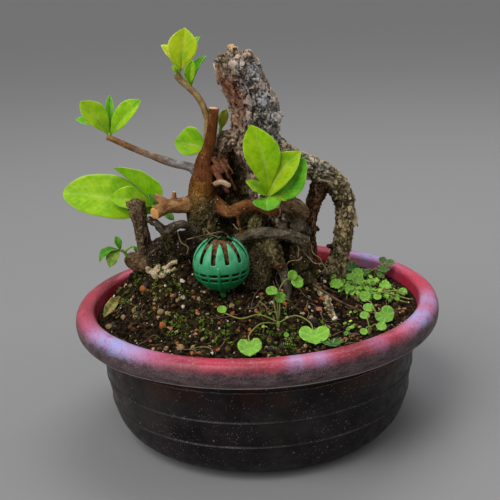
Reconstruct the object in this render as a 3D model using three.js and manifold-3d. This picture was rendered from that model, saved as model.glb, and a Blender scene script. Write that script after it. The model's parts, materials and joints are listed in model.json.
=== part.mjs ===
// A flowering quince kept as a bonsai: an old, cut-back stump with an arching surface root, standing on a
// mounded root ball in a round plastic bowl, with young spring shoots, a slotted fertiliser basket and
// small weeds. Millimetres, +Z up, origin at the middle of the bowl's base, seen from the -Y side.
import * as THREE from "three";
import { mergeVertices } from "three/addons/utils/BufferGeometryUtils.js";
import Module from "manifold-3d";

const wasm = await Module();
wasm.setup();

// Driving sizes of the bowl
const RIM_RADIUS = 114;
const BOWL_HEIGHT = 84;
const WALL_TOP_RADIUS = 101;
const WALL_FOOT_RADIUS = 95.2;
const WALL_FOOT_HEIGHT = 25;
const FOOT_RADIUS = 67;
const FOOT_INNER_RADIUS = 59;
const FOOT_RECESS = 1.5;
const PAD_RADIUS = 18;
const FOOT_CURVE_TOP = 24.2;
const RIM_UNDERSIDE = 67;
const RIM_CREST_RADIUS = 106.8;
const RIM_INNER_RADIUS = 102;
const RIM_INNER_HEIGHT = 79.5;
const RIM_ROUNDING = 9;
const WALL = 2.4;
const FLOOR_TOP = 4;
const RING_HEIGHTS = [25.5, 41.6, 61.2];
const RING_RISE = 0.6;
const RING_HALF_WIDTH = 0.8;
const DRAIN_RADIUS = 5;
const DRAIN_CIRCLE = 36;
const DRAINS = 4;
const ROUND_STEPS = 32;

// Driving sizes of the soil, whose mound reaches from its crest to the wall by a different way on each side
const SOIL_EDGE = 76;
const MOUND_RISE = 30;
const MOUND_CENTRE = [-15, 12];
const MOUND_FLAT = { left: 50, right: 20, front: 5, back: 25 };
const MOUND_END = { left: 86, right: 85, front: 95, back: 72 };
const SHOULDER = { at: [-48, 7], rise: 11, reach: [21, 17] };
const SOIL_RINGS = 8;
const PEBBLES = 30;

// Clearance between pieces that touch, leaf thickness and the seed of the pebble places
const GAP = 0.35;
const LEAF = 0.75;
const SEED = 11;

const finish = (color, roughness) => new THREE.MeshStandardMaterial({ color, roughness, metalness: 0 });
const FINISH = {
  bowl: finish(0x2a1c1b, 0.42),
  soil: finish(0x33261c, 0.98),
  bark: finish(0x6b5746, 0.92),
  leaf: finish(0x8fc31f, 0.5),
  leafOlive: finish(0x9a9636, 0.6),
  weed: finish(0x7fc04a, 0.6),
  weedDull: finish(0x5d9150, 0.65),
  basket: finish(0x0c8a52, 0.3),
  pellet: finish(0x7a4a34, 0.95),
  crumb: finish(0xd9c28c, 0.95),
  dead: finish(0x8a7a33, 0.85),
  twig: finish(0x4d3a30, 0.9),
};

// Closed geometry to solid, turned round where its faces pointed in, and back
function solidFrom(geometry) {
  for (const name of ["normal", "uv"]) geometry.deleteAttribute(name);
  const merged = mergeVertices(geometry, 1e-4);
  const vertProperties = new Float32Array(merged.attributes.position.array);
  const triVerts = new Uint32Array(merged.index.array);
  const made = () => new wasm.Manifold(new wasm.Mesh({ numProp: 3, vertProperties, triVerts }));
  if (made().volume() > 0) return made();
  triVerts.reverse();
  return made();
}

function geometryFrom(solid) {
  const { vertProperties, triVerts } = solid.getMesh();
  return new THREE.BufferGeometry()
    .setAttribute("position", new THREE.BufferAttribute(vertProperties, 3))
    .setIndex(new THREE.BufferAttribute(triVerts, 1));
}

const indexedSolid = (points, index) =>
  solidFrom(new THREE.BufferGeometry().setFromPoints(points).setIndex(index));
const joined = (solids) => solids.reduce((sum, solid) => sum.add(solid));
const cutBy = (solid, cutters) => cutters.reduce((left, cutter) => left.subtract(cutter), solid);
const biggest = (solid) => solid.decompose().reduce((a, b) => (b.volume() > a.volume() ? b : a));
const vector = ([x, y, z]) => new THREE.Vector3(x, y, z);
const around = (count, make) => Array.from({ length: count }, (_, i) => make((2 * Math.PI * i) / count, i));

// Numbers in 0..1 that are the same on every run
function seeded(seed) {
  let state = seed;
  return () => {
    state = (state * 1664525 + 1013904223) % 4294967296;
    return state / 4294967296;
  };
}

// Places, tangents and two cross directions at even steps along a curve, without twist
function stationsAlong(curve, steps) {
  const stations = [];
  let side = new THREE.Vector3(0, 0, 1).cross(curve.getTangent(0));
  if (side.lengthSq() < 1e-3) side.set(1, 0, 0);
  for (let i = 0; i <= steps; i++) {
    const tangent = curve.getTangent(i / steps);
    side = side.clone().addScaledVector(tangent, -side.dot(tangent)).normalize();
    stations.push({ at: curve.getPoint(i / steps), tangent, side, up: side.clone().cross(tangent) });
  }
  return stations;
}

// A closed limb through [x, y, z, radius] points. ridge is the share by which bark ridges rise, and
// grow makes the whole limb fatter and longer, for the clearance around it.
function limb(points, { sides = 7, steps = 3, ridge = 0.05, grow = 0 } = {}) {
  const stations = stationsAlong(new THREE.CatmullRomCurve3(points.map(vector)), steps);
  const geometry = new THREE.CylinderGeometry(1, 1, 1, sides, steps);
  const place = geometry.attributes.position;
  for (let i = 0; i < place.count; i++) {
    const share = place.getY(i) + 0.5;
    const { at, tangent, side, up } = stations[Math.round(share * steps)];
    const reach = share * (points.length - 1);
    const before = Math.min(Math.floor(reach), points.length - 2);
    const radius = THREE.MathUtils.lerp(points[before][3], points[before + 1][3], reach - before);
    const turn = Math.atan2(place.getZ(i), place.getX(i));
    const bark = 0.6 * Math.sin(5 * turn + 7 * share + at.z * 0.3) + 0.4 * Math.sin(8 * turn - 0.5 * at.z);
    const out = Math.hypot(place.getX(i), place.getZ(i)) * (radius * (1 + ridge * bark) + grow);
    const end = share > 0.999 ? grow : share < 0.001 ? -grow : 0;
    const spot = at.clone().addScaledVector(tangent, end);
    spot.addScaledVector(side, Math.cos(turn) * out).addScaledVector(up, Math.sin(turn) * out);
    place.setXYZ(i, spot.x, spot.y, spot.z);
  }
  return solidFrom(geometry);
}

// A thin smooth stem through [x, y, z] points
const stalk = (points, radius, fineness) =>
  limb(points.map((point) => [...point, radius]), { sides: 5, steps: 2, ridge: 0, ...fineness });

// A leaf from its foot to its tip. face is the side that shows, fold the angle by which its halves rise
// towards it, bow how far the rib arches, fullness where it is widest, and the edge steps in at each tooth.
const TOOTH = 0.12;
function leaf({ from, to, face, width, fold = 25, bow = 1.5, fullness = 1.35, steps = 6, thick = LEAF }) {
  const along = vector(to).sub(vector(from));
  const length = along.length();
  along.normalize();
  const front = vector(face);
  front.addScaledVector(along, -front.dot(along)).normalize();
  const across = along.clone().cross(front);
  const rise = Math.tan(THREE.MathUtils.degToRad(fold));
  const depth = thick * Math.hypot(1, rise);
  const points = [];
  for (let i = 0; i <= steps; i++) {
    const share = i / steps;
    const rib = vector(from).addScaledVector(along, share * length);
    rib.addScaledVector(front, bow * 4 * share * (1 - share) - depth / 2);
    const outline = Math.max(0.12, Math.sin(Math.PI * share ** fullness) ** 0.75);
    const half = ((width / 2) * outline * (i % 2 ? 1 : 1 - TOOTH)) / Math.hypot(1, rise);
    for (const [sideways, lift] of [[-1, 0], [0, 0], [1, 0], [1, depth], [0, depth], [-1, depth]]) {
      const spot = rib.clone().addScaledVector(across, sideways * half);
      points.push(spot.addScaledVector(front, Math.abs(sideways) * half * rise + lift));
    }
  }
  return indexedSolid(points, leafIndex(steps));
}

// The triangles of a folded blade with six points a station, alike on both faces so that it stays one
// thickness
function leafIndex(steps) {
  const index = [];
  const quad = (a, b, c, d) => index.push(a, b, c, a, c, d);
  for (let a = 0; a < 6 * steps; a += 6) {
    const b = a + 6;
    quad(a, a + 1, b + 1, b);
    quad(a + 1, a + 2, b + 2, b + 1);
    quad(a + 2, a + 3, b + 3, b + 2);
    quad(b + 3, a + 3, a + 4, b + 4);
    quad(b + 4, a + 4, a + 5, b + 5);
    quad(a + 5, a, b, b + 5);
  }
  const last = 6 * steps;
  quad(0, 5, 4, 1);
  quad(1, 4, 3, 2);
  quad(last, last + 1, last + 4, last + 5);
  quad(last + 1, last + 2, last + 3, last + 4);
  return index;
}

// How far a small round leaf's edge lies from its middle, by the turn from its tip. notch makes it a
// heart, and lobes gives it rounded lobes.
function edgeReach({ radius, notch = 0, lobes = 0 }, turn) {
  const back = Math.exp(-(((turn - Math.PI) / 0.45) ** 2));
  const heart = 1 - notch * back + 0.25 * notch * Math.cos(turn);
  return radius * heart * (lobes ? 1 + 0.2 * Math.cos(lobes * turn) : 1);
}

// A small round, heart-shaped or lobed leaf about its middle, with the foot that its stalk meets
const CUP = 0.15;
function roundLeaf({ at, towards, face, ...shape }) {
  const edges = shape.lobes ? 2 * shape.lobes : 8;
  const front = vector(face).normalize();
  const ahead = vector(towards);
  ahead.addScaledVector(front, -ahead.dot(front)).normalize();
  const across = ahead.clone().cross(front);
  const spotAt = (turn, reach) =>
    vector(at)
      .addScaledVector(ahead, Math.cos(turn) * reach)
      .addScaledVector(across, Math.sin(turn) * reach)
      .addScaledVector(front, CUP * reach);
  const ring = around(edges, (turn) => spotAt(turn, edgeReach(shape, turn)));
  const layers = [-LEAF / 2, LEAF / 2].map((lift) =>
    [...ring, vector(at)].map((spot) => spot.clone().addScaledVector(front, lift)),
  );
  const index = [];
  const top = edges + 1;
  for (let i = 0; i < edges; i++) {
    const next = (i + 1) % edges;
    index.push(edges, next, i, top + edges, top + i, top + next);
    index.push(i, next, top + next, i, top + next, top + i);
  }
  const foot = spotAt(Math.PI, 0.7 * edgeReach(shape, Math.PI));
  return { solid: indexedSolid(layers.flat(), index), foot: foot.toArray() };
}

const lathe = (points, steps = ROUND_STEPS) =>
  solidFrom(new THREE.LatheGeometry(points, steps).rotateX(Math.PI / 2));

// The bowl's inner wall from under the rim down to the floor's middle, moved into the bowl by inset
function innerWall(path, inset) {
  path.lineTo(WALL_TOP_RADIUS - WALL - inset, RIM_UNDERSIDE);
  path.lineTo(WALL_FOOT_RADIUS - WALL - inset, WALL_FOOT_HEIGHT);
  const corner = WALL_FOOT_RADIUS - 2 * WALL - inset;
  path.quadraticCurveTo(corner, FLOOR_TOP + inset, FOOT_RADIUS, FLOOR_TOP + inset);
  path.lineTo(0, FLOOR_TOP + inset);
}

const FLARE = (WALL_TOP_RADIUS - WALL_FOOT_RADIUS) / (RIM_UNDERSIDE - WALL_FOOT_HEIGHT);
const wallRadius = (height) => WALL_FOOT_RADIUS + FLARE * (height - WALL_FOOT_HEIGHT);

// The bowl: a foot ring and a middle pad that it stands on, a rounded base, a slightly flared wall with
// three raised rings, and a rolled rim
function bowl() {
  const path = new THREE.Path();
  path.moveTo(0, 0);
  path.lineTo(PAD_RADIUS, 0);
  path.lineTo(PAD_RADIUS + FOOT_RECESS, FOOT_RECESS);
  path.lineTo(FOOT_INNER_RADIUS - FOOT_RECESS, FOOT_RECESS);
  path.lineTo(FOOT_INNER_RADIUS, 0);
  path.lineTo(FOOT_RADIUS, 0);
  path.quadraticCurveTo(wallRadius(0), 0, wallRadius(FOOT_CURVE_TOP), FOOT_CURVE_TOP);
  for (const height of RING_HEIGHTS) {
    path.lineTo(wallRadius(height), height - RING_HALF_WIDTH);
    path.lineTo(wallRadius(height) + RING_RISE, height);
    path.lineTo(wallRadius(height), height + RING_HALF_WIDTH);
  }
  path.lineTo(WALL_TOP_RADIUS, RIM_UNDERSIDE);
  path.lineTo(RIM_RADIUS - RIM_ROUNDING / 2, RIM_UNDERSIDE + 1);
  path.quadraticCurveTo(RIM_RADIUS, RIM_UNDERSIDE + 2, RIM_RADIUS, RIM_UNDERSIDE + RIM_ROUNDING);
  path.quadraticCurveTo(RIM_RADIUS, BOWL_HEIGHT, RIM_CREST_RADIUS, BOWL_HEIGHT);
  path.quadraticCurveTo(RIM_INNER_RADIUS, BOWL_HEIGHT, RIM_INNER_RADIUS, RIM_INNER_HEIGHT);
  innerWall(path, 0);
  const drains = around(DRAINS, (turn) => {
    const hole = new THREE.CylinderGeometry(DRAIN_RADIUS, DRAIN_RADIUS, 4 * FLOOR_TOP, 8);
    return solidFrom(hole.rotateX(Math.PI / 2).translate(DRAIN_CIRCLE, 0, 0).rotateZ(turn + Math.PI / 4));
  });
  return cutBy(lathe(path.getPoints(3)), drains);
}

// Height of the soil before its crumbs, from the mound's crest down to the wall, with a higher shoulder on
// the left
function moundHeight(x, y) {
  const dx = x - MOUND_CENTRE[0];
  const dy = y - MOUND_CENTRE[1];
  const away = Math.hypot(dx, dy) + 1e-9;
  const sideShare = (dx / away) ** 2;
  const pick = (sizes) =>
    (dx < 0 ? sizes.left : sizes.right) * sideShare + (dy < 0 ? sizes.front : sizes.back) * (1 - sideShare);
  const [sx, sy] = [0, 1].map((i) => ([x, y][i] - SHOULDER.at[i]) / SHOULDER.reach[i]);
  const shoulder = SHOULDER.rise * Math.exp(-sx * sx - sy * sy);
  const fall = THREE.MathUtils.smoothstep(away, pick(MOUND_FLAT), pick(MOUND_END));
  return SOIL_EDGE + MOUND_RISE * (1 - fall) + shoulder * (1 - fall);
}

// Lumps in the soil's surface, which fade out at the wall
function crumbs(x, y) {
  const fade = 1 - THREE.MathUtils.smoothstep(Math.hypot(x, y), 85, 100);
  const lumps = Math.sin(0.31 * x + 1.3 * Math.sin(0.17 * y)) * Math.sin(0.27 * y + 1.1 * Math.sin(0.21 * x));
  return fade * (1.1 * lumps + 0.5 * Math.sin(0.83 * x + 0.6 * y) * Math.sin(0.71 * y - 0.4 * x));
}

const soilHeight = (x, y) => moundHeight(x, y) + crumbs(x, y);

// The soil fills the bowl up to a little under the rim, and its upper face follows the mound
function soilBody() {
  const wallTop = WALL_TOP_RADIUS - WALL;
  const share = (SOIL_EDGE - RIM_UNDERSIDE) / (RIM_INNER_HEIGHT - RIM_UNDERSIDE);
  const edge = THREE.MathUtils.lerp(wallTop, RIM_INNER_RADIUS, share) - GAP;
  const path = new THREE.Path();
  path.moveTo(0, SOIL_EDGE);
  for (let i = 1; i <= SOIL_RINGS; i++) path.lineTo((edge * i) / SOIL_RINGS, SOIL_EDGE);
  innerWall(path, GAP);
  const geometry = new THREE.LatheGeometry(path.getPoints(3), ROUND_STEPS).rotateX(Math.PI / 2);
  const place = geometry.attributes.position;
  for (let i = 0; i < place.count; i++)
    if (place.getZ(i) > SOIL_EDGE - 0.01) place.setZ(i, soilHeight(place.getX(i), place.getY(i)));
  return solidFrom(geometry);
}

// Coarse granules pressed into the soil, larger than life
function pebbles() {
  const random = seeded(SEED);
  return around(PEBBLES, () => {
    const turn = 2 * Math.PI * random();
    const away = 94 * Math.sqrt(random());
    const [x, y] = [away * Math.cos(turn), away * Math.sin(turn)];
    const radius = 1.3 + 1.5 * random();
    const stone = new THREE.OctahedronGeometry(radius).rotateX(random()).rotateY(random());
    stone.scale(1.2, 1, 0.8);
    return solidFrom(stone.translate(x, y, soilHeight(x, y) + 0.2 * radius));
  });
}

// The tree's wood, one grown piece. Each limb runs through [x, y, z, radius] points.
const LIMBS = [
  // Old trunk, from the root ball to the cut-back crown
  { sides: 12, steps: 12, ridge: 0.1, points: [
    [17, 8, 94, 18], [15, 12, 118, 15.3], [14, 12, 138, 13.9], [11, 12, 157, 15], [7, 11.5, 170, 14.2],
    [4.5, 11, 180, 13.4], [3.2, 10, 190, 14.2], [4.2, 9, 199, 15.3], [2, 8, 206, 13.6], [-1.4, 6, 216, 13],
    [-4.8, 4.5, 225, 13.4], [-6, 3.5, 233, 10],
  ] },
  // Sawn nubs on the crown
  { sides: 7, steps: 2, points: [[-9, 2, 228, 4.6], [-8, 1.5, 234, 4], [-7, 1, 238.5, 2.9]] },
  { sides: 6, steps: 1, points: [[-12, 0, 228, 4.4], [-15.5, -1, 233, 3.2]] },
  // Old wood behind the hollow, and the swollen shoulder beside the trunk
  { sides: 9, steps: 4, ridge: 0.08, points: [
    [-3, 16, 184, 9.5], [-6, 20, 166, 12.5], [-9, 22, 143, 16.5], [-10, 20, 116, 22], [-9, 16, 94, 25],
  ] },
  { sides: 7, steps: 4, ridge: 0.08, points: [
    [-20, 6, 172, 5.5], [-15, 6, 181, 6], [-8, 6, 182, 5.6], [-4, 7, 176, 5],
  ] },
  { sides: 7, steps: 2, points: [[-18, 5, 176, 5], [-16, 8, 162, 6], [-13, 9, 150, 7]] },
  // Left trunk and its cut leader
  { sides: 8, steps: 9, ridge: 0.06, points: [
    [-20, 4, 96, 17], [-26, 2, 120, 12.6], [-31, 0, 138, 10.3], [-30.5, 0, 149, 8.7], [-30, 0, 157, 7.6],
    [-29, 0, 163, 6.2], [-28, -1, 171, 4.8], [-25, -2, 178, 3.7], [-22, -2, 189, 3.2], [-20, -3, 203, 3.1],
  ] },
  // Root that arches out of the trunk, with its inner leg and two thorn-like nubs
  { sides: 8, steps: 12, ridge: 0.09, points: [
    [10, 10, 182, 7.5], [16.5, 11, 173, 8], [24, 12, 166.4, 8.1], [32, 13, 162.2, 7.8], [41, 14, 158.8, 7.6],
    [49.2, 15, 153.4, 7.4], [56.4, 17, 144.2, 7], [59.6, 19, 131.8, 6.2], [59, 20, 118, 6],
    [56.6, 22, 104, 6.1], [53, 23, 90, 6.7], [49, 24, 74, 8],
  ] },
  { sides: 7, steps: 6, ridge: 0.06, points: [
    [50, 14, 153, 5.6], [44, 14, 148, 5.9], [41, 14, 141, 5.2], [38, 13, 134, 4.7], [36, 12, 126, 4.5],
    [34.5, 11, 117, 5], [33, 10, 96, 8],
  ] },
  { sides: 5, steps: 1, points: [[36, 12, 119, 2.1], [42, 12, 121, 1.6]] },
  { sides: 5, steps: 1, points: [[54, 21, 105, 2.1], [47, 20, 107, 1.2]] },
  // Callus, grey sawn stub and buttress on the trunk's right
  { sides: 7, steps: 2, points: [[18, 4, 141, 6], [27, 2, 137.5, 6], [32, 4, 131, 5.2]] },
  { sides: 7, steps: 2, points: [[31, 8, 121, 5.6], [29, 1, 125, 5], [27, -7, 128.5, 4.4]] },
  { sides: 7, steps: 2, points: [[20, 0, 116, 6], [28, -4, 118, 5.5], [31, -3, 110, 6]] },
  { sides: 7, steps: 2, ridge: 0.07, points: [[22, 4, 120, 9], [26, -2, 106, 10], [30, -8, 90, 8]] },
  // Grey branch across the front, and the brown branch above it
  { sides: 6, steps: 4, points: [
    [-10, -7, 121, 4], [-1, -13, 126, 3.6], [10, -15, 127, 3.5], [22, -15, 125, 3.5], [33, -13, 120, 3.3],
  ] },
  { sides: 6, steps: 4, points: [
    [-25, 1, 146, 4.6], [-14, -6, 139, 4], [-4, -9, 143, 3.9], [4, -10, 142.5, 3.3], [11, -11, 139.5, 2.7],
    [17, -11.5, 139, 2.3],
  ] },
  { sides: 7, steps: 2, points: [[6, -4, 138, 5], [2, -8, 130, 5], [5, -10, 122, 6]] },
  // Mossy front root, the stub root, and two thin roots that run into the soil
  { sides: 7, steps: 4, ridge: 0.07, points: [
    [9, -4, 124, 8], [5, -10, 110, 8.8], [0, -17, 98, 9], [-5, -24, 82, 7.5],
  ] },
  { sides: 7, steps: 3, points: [
    [10, -10, 126, 5.8], [12, -16, 116, 5.3], [13.5, -19, 110, 4.6], [14.5, -21, 107, 3.7],
  ] },
  { sides: 6, steps: 4, points: [
    [15, -16, 110, 2.9], [18, -20, 101, 3.1], [19, -25, 92, 2.8], [18, -32, 82, 1.9],
  ] },
  { sides: 6, steps: 5, points: [
    [29, -4, 112, 6.5], [33, -7, 97, 3.4], [38, -11, 88, 3], [43, -15, 84.5, 2.7], [44, -27, 80.5, 2.4],
    [46, -36, 74, 1.8],
  ] },
  // Twisted side root on the left, and what it stands on
  { sides: 6, steps: 6, points: [
    [-30, -2, 122, 4.2], [-38, -8, 131, 3.1], [-44, -11, 134, 2.7], [-54, -12, 131, 3], [-59, -13, 136, 2.4],
    [-64, -13, 139.5, 1.9],
  ] },
  { sides: 6, steps: 2, points: [[-54, -12, 131, 2.8], [-52, -9, 122, 3.4], [-50, -4, 98, 5]] },
  { sides: 7, steps: 4, ridge: 0.1, points: [
    [-29, 2, 116, 12], [-40, -1, 117, 10], [-50, -3, 117.5, 8.6], [-58, -3, 115.5, 7.6], [-64, -1, 107, 7.5],
  ] },
  // Dark split stub on the left shoulder, the callus at its foot and the root that carries both
  { sides: 8, steps: 6, ridge: 0.07, points: [
    [-62, 6, 92, 8], [-65, 4, 107, 6.3], [-68, 1, 117, 4.9], [-69, -2, 129, 4.2], [-71, -4, 140, 4.2],
    [-73, -4, 149, 4.4],
  ] },
  { sides: 6, steps: 2, points: [[-69, -3, 131, 3], [-68, -6, 142, 3.2], [-68.5, -6, 149, 2.9]] },
  { sides: 7, steps: 3, points: [
    [-62, 2, 106, 6.5], [-70, -2, 108, 6.4], [-76, -4, 110.5, 5.6], [-79.5, -5, 113, 3.2],
  ] },
  { sides: 7, steps: 3, ridge: 0.08, points: [
    [-22, 4, 106, 14], [-38, 6, 106, 12], [-52, 6, 106, 10], [-66, 4, 102, 8],
  ] },
  // Sawn side branch that faces forward, with two small twigs
  { sides: 9, steps: 4, ridge: 0.03, points: [
    [-33, 0, 144, 5.8], [-43, -4, 144, 4.9], [-51, -9, 145, 4.3], [-59, -17, 143, 3.8],
  ] },
  { sides: 6, steps: 2, points: [[-49, -7, 145, 2.9], [-55, -8, 149, 2.5], [-59, -8, 152, 2.2]] },
  { sides: 5, steps: 1, points: [[-48, -5, 145, 1.9], [-47, -5, 153.5, 1.3]] },
  // Long young twigs that carry the left and the top shoot
  { sides: 5, steps: 7, ridge: 0.03, points: [
    [-31, 1, 162, 3.6], [-37, 0, 167, 2.7], [-45, -1, 169.5, 2.5], [-51, -2, 172, 2.6], [-60, -3, 176, 2],
    [-72, -4, 182, 2], [-82, -5, 187.5, 1.9], [-85, -5, 189, 2],
  ] },
  { sides: 5, steps: 6, ridge: 0.03, points: [
    [-25, 3, 180, 3], [-25, 8, 196, 2.2], [-29, 10, 207, 2.1], [-35, 12, 214, 2.1], [-40, 13, 219, 2.2],
    [-42, 13, 222.5, 2.4],
  ] },
  // Splinters, a pale twig and a dry stick in the hollow
  { sides: 5, steps: 2, points: [[-22, -1, 168, 2.6], [-18, -3, 158, 2], [-14, -1, 150, 1.6]] },
  { sides: 5, steps: 2, points: [[-16, 4, 166, 2.4], [-12, 2, 158, 2], [-9, 2, 150, 1.4]] },
  { sides: 5, steps: 2, points: [[-22, -4, 156.5, 1.9], [-17, -8, 158.5, 1.6], [-12.5, -9.5, 156, 1.5]] },
  { sides: 5, steps: 2, points: [[-9.5, -9, 143, 1], [-9, -11, 136, 0.9], [-7, -12, 126, 1.2]] },
  // Roots at the back and inside the soil
  { sides: 7, steps: 3, ridge: 0.07, points: [
    [8, 22, 116, 11], [10, 38, 105, 8.5], [13, 54, 96, 6.5], [14, 70, 82, 5],
  ] },
  { sides: 7, steps: 3, ridge: 0.07, points: [
    [-16, 28, 110, 11], [-28, 42, 102, 8], [-38, 56, 91, 5.5], [-42, 66, 78, 4],
  ] },
  { sides: 5, steps: 2, points: [[8, 6, 100, 12], [12, -10, 70, 7], [24, -32, 44, 3]] },
  { sides: 5, steps: 2, points: [[-18, 8, 98, 12], [-34, 14, 68, 7], [-52, 12, 40, 3]] },
  { sides: 5, steps: 2, points: [[2, 16, 98, 12], [14, 34, 66, 6], [32, 46, 42, 3]] },
];

const treeSolid = (grow) =>
  joined(LIMBS.map(({ points, ...fineness }) => limb(points, { ...fineness, grow })));

// Young shoots: stems that start inside the wood, and their leaves
const SHOOTS = {
  shoot_top: {
    stems: [{ radius: 1.4, points: [[-42, 13, 221], [-40.5, 12.6, 224], [-39.2, 12.2, 226.5]] }],
    leaves: [
      {
        from: [-39, 12, 224.5], to: [-35.1, 11, 249.5], face: [0.15, -1, 0.2],
        width: 19, fold: 18, fullness: 1.45, steps: 10,
      },
      { from: [-40.2, 13, 224], to: [-50.6, 16.5, 239.5], face: [0.5, -0.6, 0.4], width: 12, fold: 32 },
      { from: [-39.2, 13.5, 224.5], to: [-26.4, 19.5, 243.3], face: [-0.6, -0.6, 0.2], width: 12, fold: 32 },
      { from: [-41.5, 12.3, 223], to: [-44.5, 10.5, 227.5], face: [0.3, -1, 0.3], width: 3.6, steps: 4 },
    ],
  },
  shoot_top_side: {
    stems: [{ radius: 1.2, points: [[-35, 12, 213.5], [-33.8, 11.6, 216.5]] }],
    leaves: [
      { from: [-34, 11.6, 215.5], to: [-31.5, 5, 231], face: [-0.2, -1, 0.1], width: 8, fold: 28 },
      { from: [-33.6, 12, 215.5], to: [-23.3, 13, 232], face: [-0.7, -0.6, 0.3], width: 9, fold: 44 },
    ],
  },
  shoot_left: {
    stems: [{ radius: 1.4, points: [[-84, -5, 188.5], [-83, -5, 191.5]] }],
    leaves: [
      { from: [-83.3, -5.2, 190.5], to: [-98.2, -8, 211], face: [0.3, -0.9, 0.45], width: 15.5, fold: 26 },
      { from: [-82.6, -5.2, 190.5], to: [-62.4, -9, 210], face: [-0.35, -0.85, 0.5], width: 15.5, fold: 28 },
      { from: [-83, -4.2, 190.5], to: [-81.8, 0.5, 213], face: [0, -1, 0.1], width: 7.5, fold: 42 },
      { from: [-83.8, -4.6, 190.5], to: [-103.3, -2, 199.6], face: [0.3, -0.3, 1], width: 12, fold: 24 },
    ],
  },
  shoot_low_left: {
    stems: [{ radius: 1.4, points: [[-50, -6, 145], [-55, 0, 143.5], [-61, 5, 142], [-65, 7, 142]] }],
    leaves: [
      {
        from: [-60, 7.5, 140], to: [-116.6, 3, 154], face: [0, -0.8, 0.62],
        width: 31, fold: 10, bow: 3, fullness: 1.05, steps: 12,
      },
      { from: [-62, 6, 142], to: [-88.5, -0.5, 148.5], face: [0, -0.7, 0.7], width: 18, fold: 22, bow: 3 },
      {
        from: [-60.5, 6.5, 141.5], to: [-84.4, 9, 167], face: [0.55, 0.5, 0.65],
        width: 25, fold: 48, bow: 1, fullness: 0.62, steps: 8,
      },
      { from: [-58, 3, 143], to: [-63, 3, 151], face: [0.3, -0.9, 0.2], width: 6.5, steps: 6 },
      { from: [-58, 2.5, 142.5], to: [-49, 1, 134], face: [0.3, -0.9, 0.3], width: 6, steps: 6 },
    ],
  },
  leaf_behind: {
    stems: [{ radius: 1, points: [[-26, 0, 175], [-28.5, 5, 176], [-30, 9, 176.5]] }],
    leaves: [
      { from: [-26.5, 8.5, 175.5], to: [-46, 13, 184], face: [-0.2, -0.8, 0.55], width: 23, fullness: 0.95 },
    ],
  },
  bud_leaf: {
    stems: [{ radius: 1.3, points: [[-17, 5, 184], [-17, 3.6, 189.5]] }],
    leaves: [
      { from: [-17, 3.4, 188], to: [-13, 3.5, 201], face: [0.2, -1, 0], width: 6.5, fold: 14, bow: -1 },
    ],
  },
  shoot_centre: {
    stems: [{ radius: 1.6, points: [[11, -11, 139], [10, -13, 144.5], [10, -13.5, 151]] }],
    leaves: [
      {
        from: [9.4, -13.5, 150], to: [-0.2, -17, 193.3], face: [0.05, -1, 0.3],
        width: 22, fold: 14, bow: 3, fullness: 1.6, steps: 10,
      },
      { from: [10.6, -13.8, 149.5], to: [30.5, -16, 177.3], face: [-0.45, -0.8, 0.3], width: 19, fold: 30 },
      { from: [11, -14, 149], to: [33.6, -20, 171.5], face: [-0.35, -0.85, 0.45], width: 23, fullness: 1.25 },
      { from: [9.4, -14.2, 150], to: [-3, -20, 161], face: [0.4, -0.8, 0.5], width: 8, steps: 6 },
      { from: [9.6, -14.4, 149.3], to: [9, -25.5, 143.5], face: [-0.1, -0.5, 0.85], width: 17, fold: 10 },
      { from: [11.2, -14.2, 149.2], to: [21, -19, 147.5], face: [-0.1, -0.6, 0.8], width: 5, steps: 4 },
    ],
  },
  shoot_curled: {
    stems: [
      { radius: 1.1, points: [[-78.5, -5, 112.5], [-80.6, -6.3, 117], [-83, -8, 119]] },
      { radius: 0.8, points: [[-80.4, -6.2, 116.8], [-78, -7.4, 119.2], [-75.5, -9, 121]] },
    ],
    leaves: [
      { from: [-82.8, -8, 118.8], to: [-95, -14, 113.5], face: [-0.2, -0.3, 0.95], width: 9, bow: 3.5 },
      { from: [-82.6, -7.8, 118.8], to: [-85, -6, 127], face: [0.4, -0.9, 0], width: 5.5, steps: 6 },
      { from: [-82.6, -8.3, 118.6], to: [-89, -16, 110.5], face: [-0.3, -0.8, 0.5], width: 9.5, bow: 2.5 },
      { from: [-76, -8.7, 120.4], to: [-72.8, -10.6, 117.4], face: [0.6, -0.3, 0.8], width: 4.2, steps: 4 },
    ],
  },
};

const shootSolid = ({ stems, leaves }) =>
  joined([...stems.map(({ points, radius }) => stalk(points, radius)), ...leaves.map(leaf)]);

// The fertiliser basket: a thin globe, open at the top, whose slats end in points, over rows of slots
const BASKET = {
  at: [-20, -30, 114], radius: 17, wall: 1.1, slats: 12, slotFoot: 0.2, tip: 64, spike: 15,
  lowSlots: [{ height: -0.24, width: 7 }, { height: -0.5, width: 5.6 }],
};

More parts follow.
